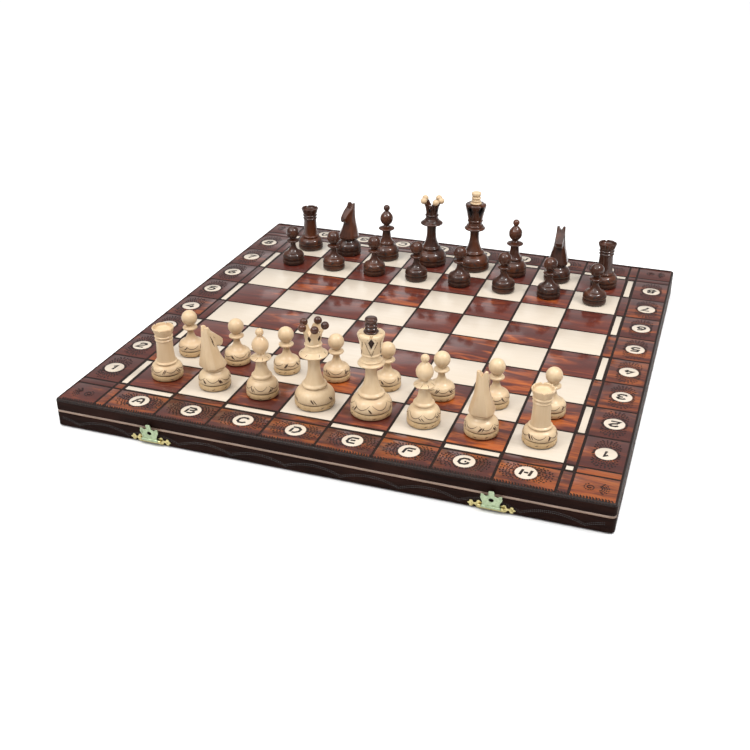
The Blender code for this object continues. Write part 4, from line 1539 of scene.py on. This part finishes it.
# %% File the notches
def battlement(body, centre, finishes):
    turn = dice.uniform(0, 60)
    notch = [(-1.9, 49.6), (0, 47.3), (1.9, 49.6)]
    cutters = [bar(centre, turn + 60 * number, notch, (6.0, 12.0)) for number in range(6)]
    body = carve_each(body, cutters, finishes)
    for number in range(12):
        a = math.radians(turn + 30 * number + 15)
        out = Vector((math.cos(a), math.sin(a), 0))
        across = Vector((-out.y, out.x, 0))
        spot = centre + (out * 9.05 + Vector((0, 0, 48.76))) * MM
        add_bead(body, spot, out * 0.3 * MM, across * 0.3 * MM, Vector((0, 0, 0.05 * MM)), 1)
    return body


# %% [markdown]
# ## The knight's head
#
# The horse's head is not turned but cut with flat strokes of a knife, so its planes are plain facets. The
# neck is a stack of eight-sided outlines, broad at the foot and narrow at the ears. A second block,
# tapering to the nose, is joined to it, a V is cut between the ears, and the sharp edges are taken off with
# a narrow bevel. Mane, cheek, eye, nostril and mouth are thin burned cuts.

# %% Neck, muzzle and the cut between the ears
# Each row is a height and then four corners from the back to the front, as half-width and place along Y.
NECK = (
    (19.3, 6.2, -9.9, 10.0, -4.4, 9.7, 5.0, 5.4, 9.6),
    (20.6, 6.8, -10.6, 10.6, -4.6, 10.3, 5.2, 5.8, 10.4),
    (24.0, 6.2, -10.7, 10.0, -4.6, 9.6, 4.4, 5.4, 9.0),
    (30.0, 4.8, -10.4, 8.6, -4.8, 8.0, 2.4, 4.4, 5.8),
    (38.0, 3.0, -9.8, 6.5, -5.2, 5.8, 0.6, 3.4, 3.4),
    (46.0, 2.3, -9.2, 5.4, -5.8, 5.0, -0.6, 3.2, 2.0),
    (53.0, 2.1, -8.8, 4.8, -6.4, 4.6, -2.4, 3.0, -0.8),
    (59.0, 1.9, -8.3, 4.5, -7.0, 4.5, -4.8, 2.7, -4.0),
)


def knight_head(name, body_name, centre, turn, colour):
    finishes = MEN[colour][:2]
    neck, muzzle, gap = bmesh.new(), bmesh.new(), bmesh.new()
    rings = []
    for height, *corners in NECK:
        right = list(zip(corners[::2], corners[1::2]))
        left = [(-x, y) for x, y in reversed(right)]
        outline = left[-1:] + right + left[:-1]
        rings.append([Vector((x, y, height)) * MM for x, y in outline])
    add_stack(neck, rings)
    side = [(-6.0, 54.6), (-3.0, 54.8), (2.6, 51.0), (7.4, 46.6), (9.2, 44.4), (9.3, 41.4), (8.0, 39.0),
            (5.4, 38.2), (3.2, 40.2), (0.6, 40.6), (-5.0, 44.0)]
    flanks = []
    for way in (-1, 1):
        flanks.append([Vector((way * muzzle_half(y), y, z)) * MM for y, z in side])
    add_stack(muzzle, flanks)
    cut = [(-3.0, 60.5), (0, 54.8), (3.0, 60.5)]
    add_stack(gap, [[Vector((x, y, z)) * MM for x, z in cut] for y in (-14, 6)])
    head = carve(carve(neck, muzzle, finishes, "UNION"), gap, finishes)
    for face in head.faces:
        face.material_index = 0
    bmesh.ops.remove_doubles(head, verts=head.verts, dist=0.02 * MM)
    bmesh.ops.dissolve_limit(head, angle_limit=math.radians(2), verts=head.verts, edges=head.edges)
    inner_edges = [edge for edge in head.edges if len(edge.link_faces) == 2]
    sharp = [edge for edge in inner_edges if edge.calc_face_angle() > math.radians(12)]
    settings = {"segments": 3, "profile": 0.6, "affect": "EDGES", "clamp_overlap": True}
    bmesh.ops.bevel(head, geom=sharp, offset=0.55 * MM, **settings)
    knife_lines(head)
    spin = Matrix.Translation(centre) @ Matrix.Rotation(math.radians(turn), 4, "Z")
    bmesh.ops.transform(head, matrix=spin, verts=head.verts)
    own_grain(head)
    node = f"{name}_head"
    make_piece(node, body_name, head, finishes, [node], smooth=50)


def muzzle_half(y):
    """Half the muzzle's thickness in mm, which thins towards the nose."""
    return 4.7 - 1.4 * max(0, y) / 10


def flank(y, z):
    """How far the head's side stands from its middle plane, in mm, at a place on it."""
    for low, high in zip(NECK, NECK[1:]):
        if low[0] <= z <= high[0]:
            share = (z - low[0]) / (high[0] - low[0])
            ring = [below + (above - below) * share for below, above in zip(low, high)]
    corners = [(ring[2], ring[1]), (ring[4], ring[3]), (ring[6], ring[5]), (ring[8], ring[7])]
    neck = 0
    for (y0, x0), (y1, x1) in zip(corners, corners[1:]):
        if y0 <= y <= y1:
            neck = x0 + (x1 - x0) * (y - y0) / (y1 - y0)
    return max(neck, muzzle_half(y)) if z > 38.5 and y > -3 else neck


def knife_lines(head):
    """Thin burned cuts that lie on both flanks of the head. Each point is (y, z) in mm."""
    lines = [
        [(-3.4, 47.0), (-2.5, 44.7), (-1.6, 42.5), (-0.8, 40.4)],
        [(-4.2, 51.0), (-3.2, 48.5), (-2.2, 46.0), (-1.4, 44.0)],
        [(-0.6, 49.4), (1.0, 48.2)],
        [(6.4, 43.2), (7.4, 42.2)],
        [(4.2, 40.6), (6.2, 39.6)],
    ]
    for line in lines:
        for way in (-1, 1):
            points = [Vector((way * flank(y, z), y, z)) * MM for y, z in line]
            add_cut_line(head, points, Vector((way, 0, 0)), 0.7 * MM)


def add_cut_line(bm, points, out, width):
    """A narrow ribbon through points on a flank, pointed at both ends."""
    made = []
    rows = []
    for i, point in enumerate(points):
        run = (points[min(i + 1, len(points) - 1)] - points[max(i - 1, 0)]).normalized()
        across = run.cross(out).normalized() * width * (0.5 if 0 < i < len(points) - 1 else 0.15)
        lift, sink = out * 0.12 * MM, out * -0.5 * MM
        corners = (point + across + lift, point - across + lift, point - across + sink, point + across + sink)
        rows.append([bm.verts.new(corner) for corner in corners])
    for low, high in zip(rows, rows[1:]):
        for i in range(4):
            j = (i + 1) % 4
            made.append(bm.faces.new((low[i], low[j], high[j], high[i])))
    made += [bm.faces.new(list(reversed(rows[0]))), bm.faces.new(rows[-1])]
    for face in made:
        face.material_index = 1


print("carving helpers are ready")

# %% [markdown]
# ## Setting up the men
#
# A man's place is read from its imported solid: the middle of its box, at its foot. White's men are pale with
# dark accents and Black's the other way round. The knights face as they were set down.

# %% Turn, carve and decorate one man
KNIGHT_TURN = {"b1": -30, "g1": 0, "b8": 160, "g8": 185}
BACK_ROW = ("rook", "knight", "bishop", "queen", "king", "bishop", "knight", "rook")


def foot_finish(height):
    """The band under the groove is singed and the groove itself is burned. The very edge of the foot is
    painted
    dark too: partly a burned line, partly painted shade where the foot meets the felt.
    """
    # Below 0.4 mm the foot is painted dark: a burned line and painted shade where it meets the felt.
    if height < 0.4 or 5.1 < height < 6.0:
        return 1
    return 2 if height < 5.1 else 0


def make_man(colour, kind, square_name):
    name = f"{colour}_{kind}" if kind in ("king", "queen") else f"{colour}_{kind}_{square_name}"
    body_name = f"{name}_body"
    low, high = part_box(name)
    centre = Vector(((low.x + high.x) / 2, (low.y + high.y) / 2, low.z))
    profile = PROFILE[kind]
    finishes = MEN[colour] if kind == "king" else MEN[colour][:3]
    bm = bmesh.new()
    turn_body(bm, profile, 56 if kind == "pawn" else 72, centre, foot_finish)
    if kind == "king":
        bm = kings_crown(bm, colour, centre, finishes)
        kite_lines(bm, colour, centre, [point for point in profile if 56 < point[1] < 75])
        finial(name, body_name, centre, colour)
    if kind == "queen":
        bm = queens_crown(bm, colour, centre, finishes)
        crown_balls(name, body_name, colour, centre)
    if kind == "rook":
        bm = battlement(bm, centre, finishes)
    decorate(bm, kind, profile, centre, 1)
    score_collar(bm, kind, profile, centre, 1)
    own_grain(bm)
    make_piece(name, body_name, bm, finishes, [name], smooth=32)
    felt_pad(f"{name}_felt", body_name, centre, profile[3][0])
    if kind == "knight":
        knight_head(name, body_name, centre, KNIGHT_TURN[square_name], colour)


# %% Set up both sides
for file_letter, kind in zip("abcdefgh", BACK_ROW):
    make_man("white", kind, f"{file_letter}1")
    make_man("white", "pawn", f"{file_letter}2")
    make_man("black", "pawn", f"{file_letter}7")
    make_man("black", kind, f"{file_letter}8")

# %% [markdown]
# ## Floor, light and camera
#
# The set stands on a plain pale floor. Most light falls from above through a wide diffuser, and the walls
# of the tent are dim. That matters for the lacquer: a glossy board mirrors the walls behind it, so dim
# walls keep the stain deep. One pale screen behind the board gives the soft haze across the middle of the
# field, and two soft boxes above add the pairs of highlights on every ball.

# %% Floor
def studio_floor():
    finish = Finish("studio floor", roughness=0.8)
    speck = finish.noise(finish.place((40.0, 40.0, 40.0)), 1.0)
    finish.set(base_color=finish.ramp(speck, (0.3, (0.90, 0.90, 0.90)), (0.7, (0.92, 0.92, 0.92))))
    bm = bmesh.new()
    bmesh.ops.create_grid(bm, x_segments=2, y_segments=2, size=6)
    mesh = bpy.data.meshes.new("studio_floor")
    bm.to_mesh(mesh)
    bm.free()
    mesh.materials.append(finish.material)
    floor = bpy.data.objects.new("studio_floor", mesh)
    scene.collection.objects.link(floor)


studio_floor()

# %% World and soft boxes
world = bpy.data.worlds.new("studio tent")
scene.world = world
world.use_nodes = True
world.node_tree.nodes["Background"].inputs["Color"].default_value = (1.0, 1.0, 1.0, 1.0)
world.node_tree.nodes["Background"].inputs["Strength"].default_value = 0.36


def place_lamp(name, light, direction, distance):
    """Puts a light in a direction from the board's middle, facing back at it."""
    lamp = bpy.data.objects.new(name, light)
    lamp.location = Vector(direction).normalized() * distance
    lamp.rotation_euler = Vector(direction).to_track_quat("Z", "Y").to_euler()
    scene.collection.objects.link(lamp)


def diffuser(name, direction, spread, strength):
    """Light from a wide cap of sky, even over the floor. Spread is the cap's width in degrees."""
    light = bpy.data.lights.new(name, "SUN")
    light.angle = math.radians(spread)
    light.energy = strength
    place_lamp(name, light, direction, 2)


def soft_box(name, direction, distance, side_length, power):
    light = bpy.data.lights.new(name, "AREA")
    light.shape = "SQUARE"
    light.size = side_length
    light.energy = power
    place_lamp(name, light, direction, distance)


diffuser("overhead_diffuser", (-0.12, -0.28, 1.0), 84, 2.55)
soft_box("back_screen", (-0.30, 0.88, 0.40), 1.9, 0.62, 0.8)
soft_box("right_soft_box", (0.54, -0.03, 0.84), 1.3, 0.28, 9.0)
soft_box("left_soft_box", (-0.375, -0.47, 0.79), 1.3, 0.26, 4.5)
scene.view_settings.view_transform = "Standard"

# %% Camera
lens = bpy.data.cameras.new("camera")
lens.lens = 48.96
lens.sensor_width = 36.0
camera = bpy.data.objects.new("camera", lens)
camera.location = (0.2775, -0.8800, 0.46485)
looking = Vector((-0.2909, 0.8327, -0.4711))
camera.rotation_euler = looking.to_track_quat("-Z", "Y").to_euler()
scene.collection.objects.link(camera)
scene.camera = camera
print("camera at", tuple(camera.location))
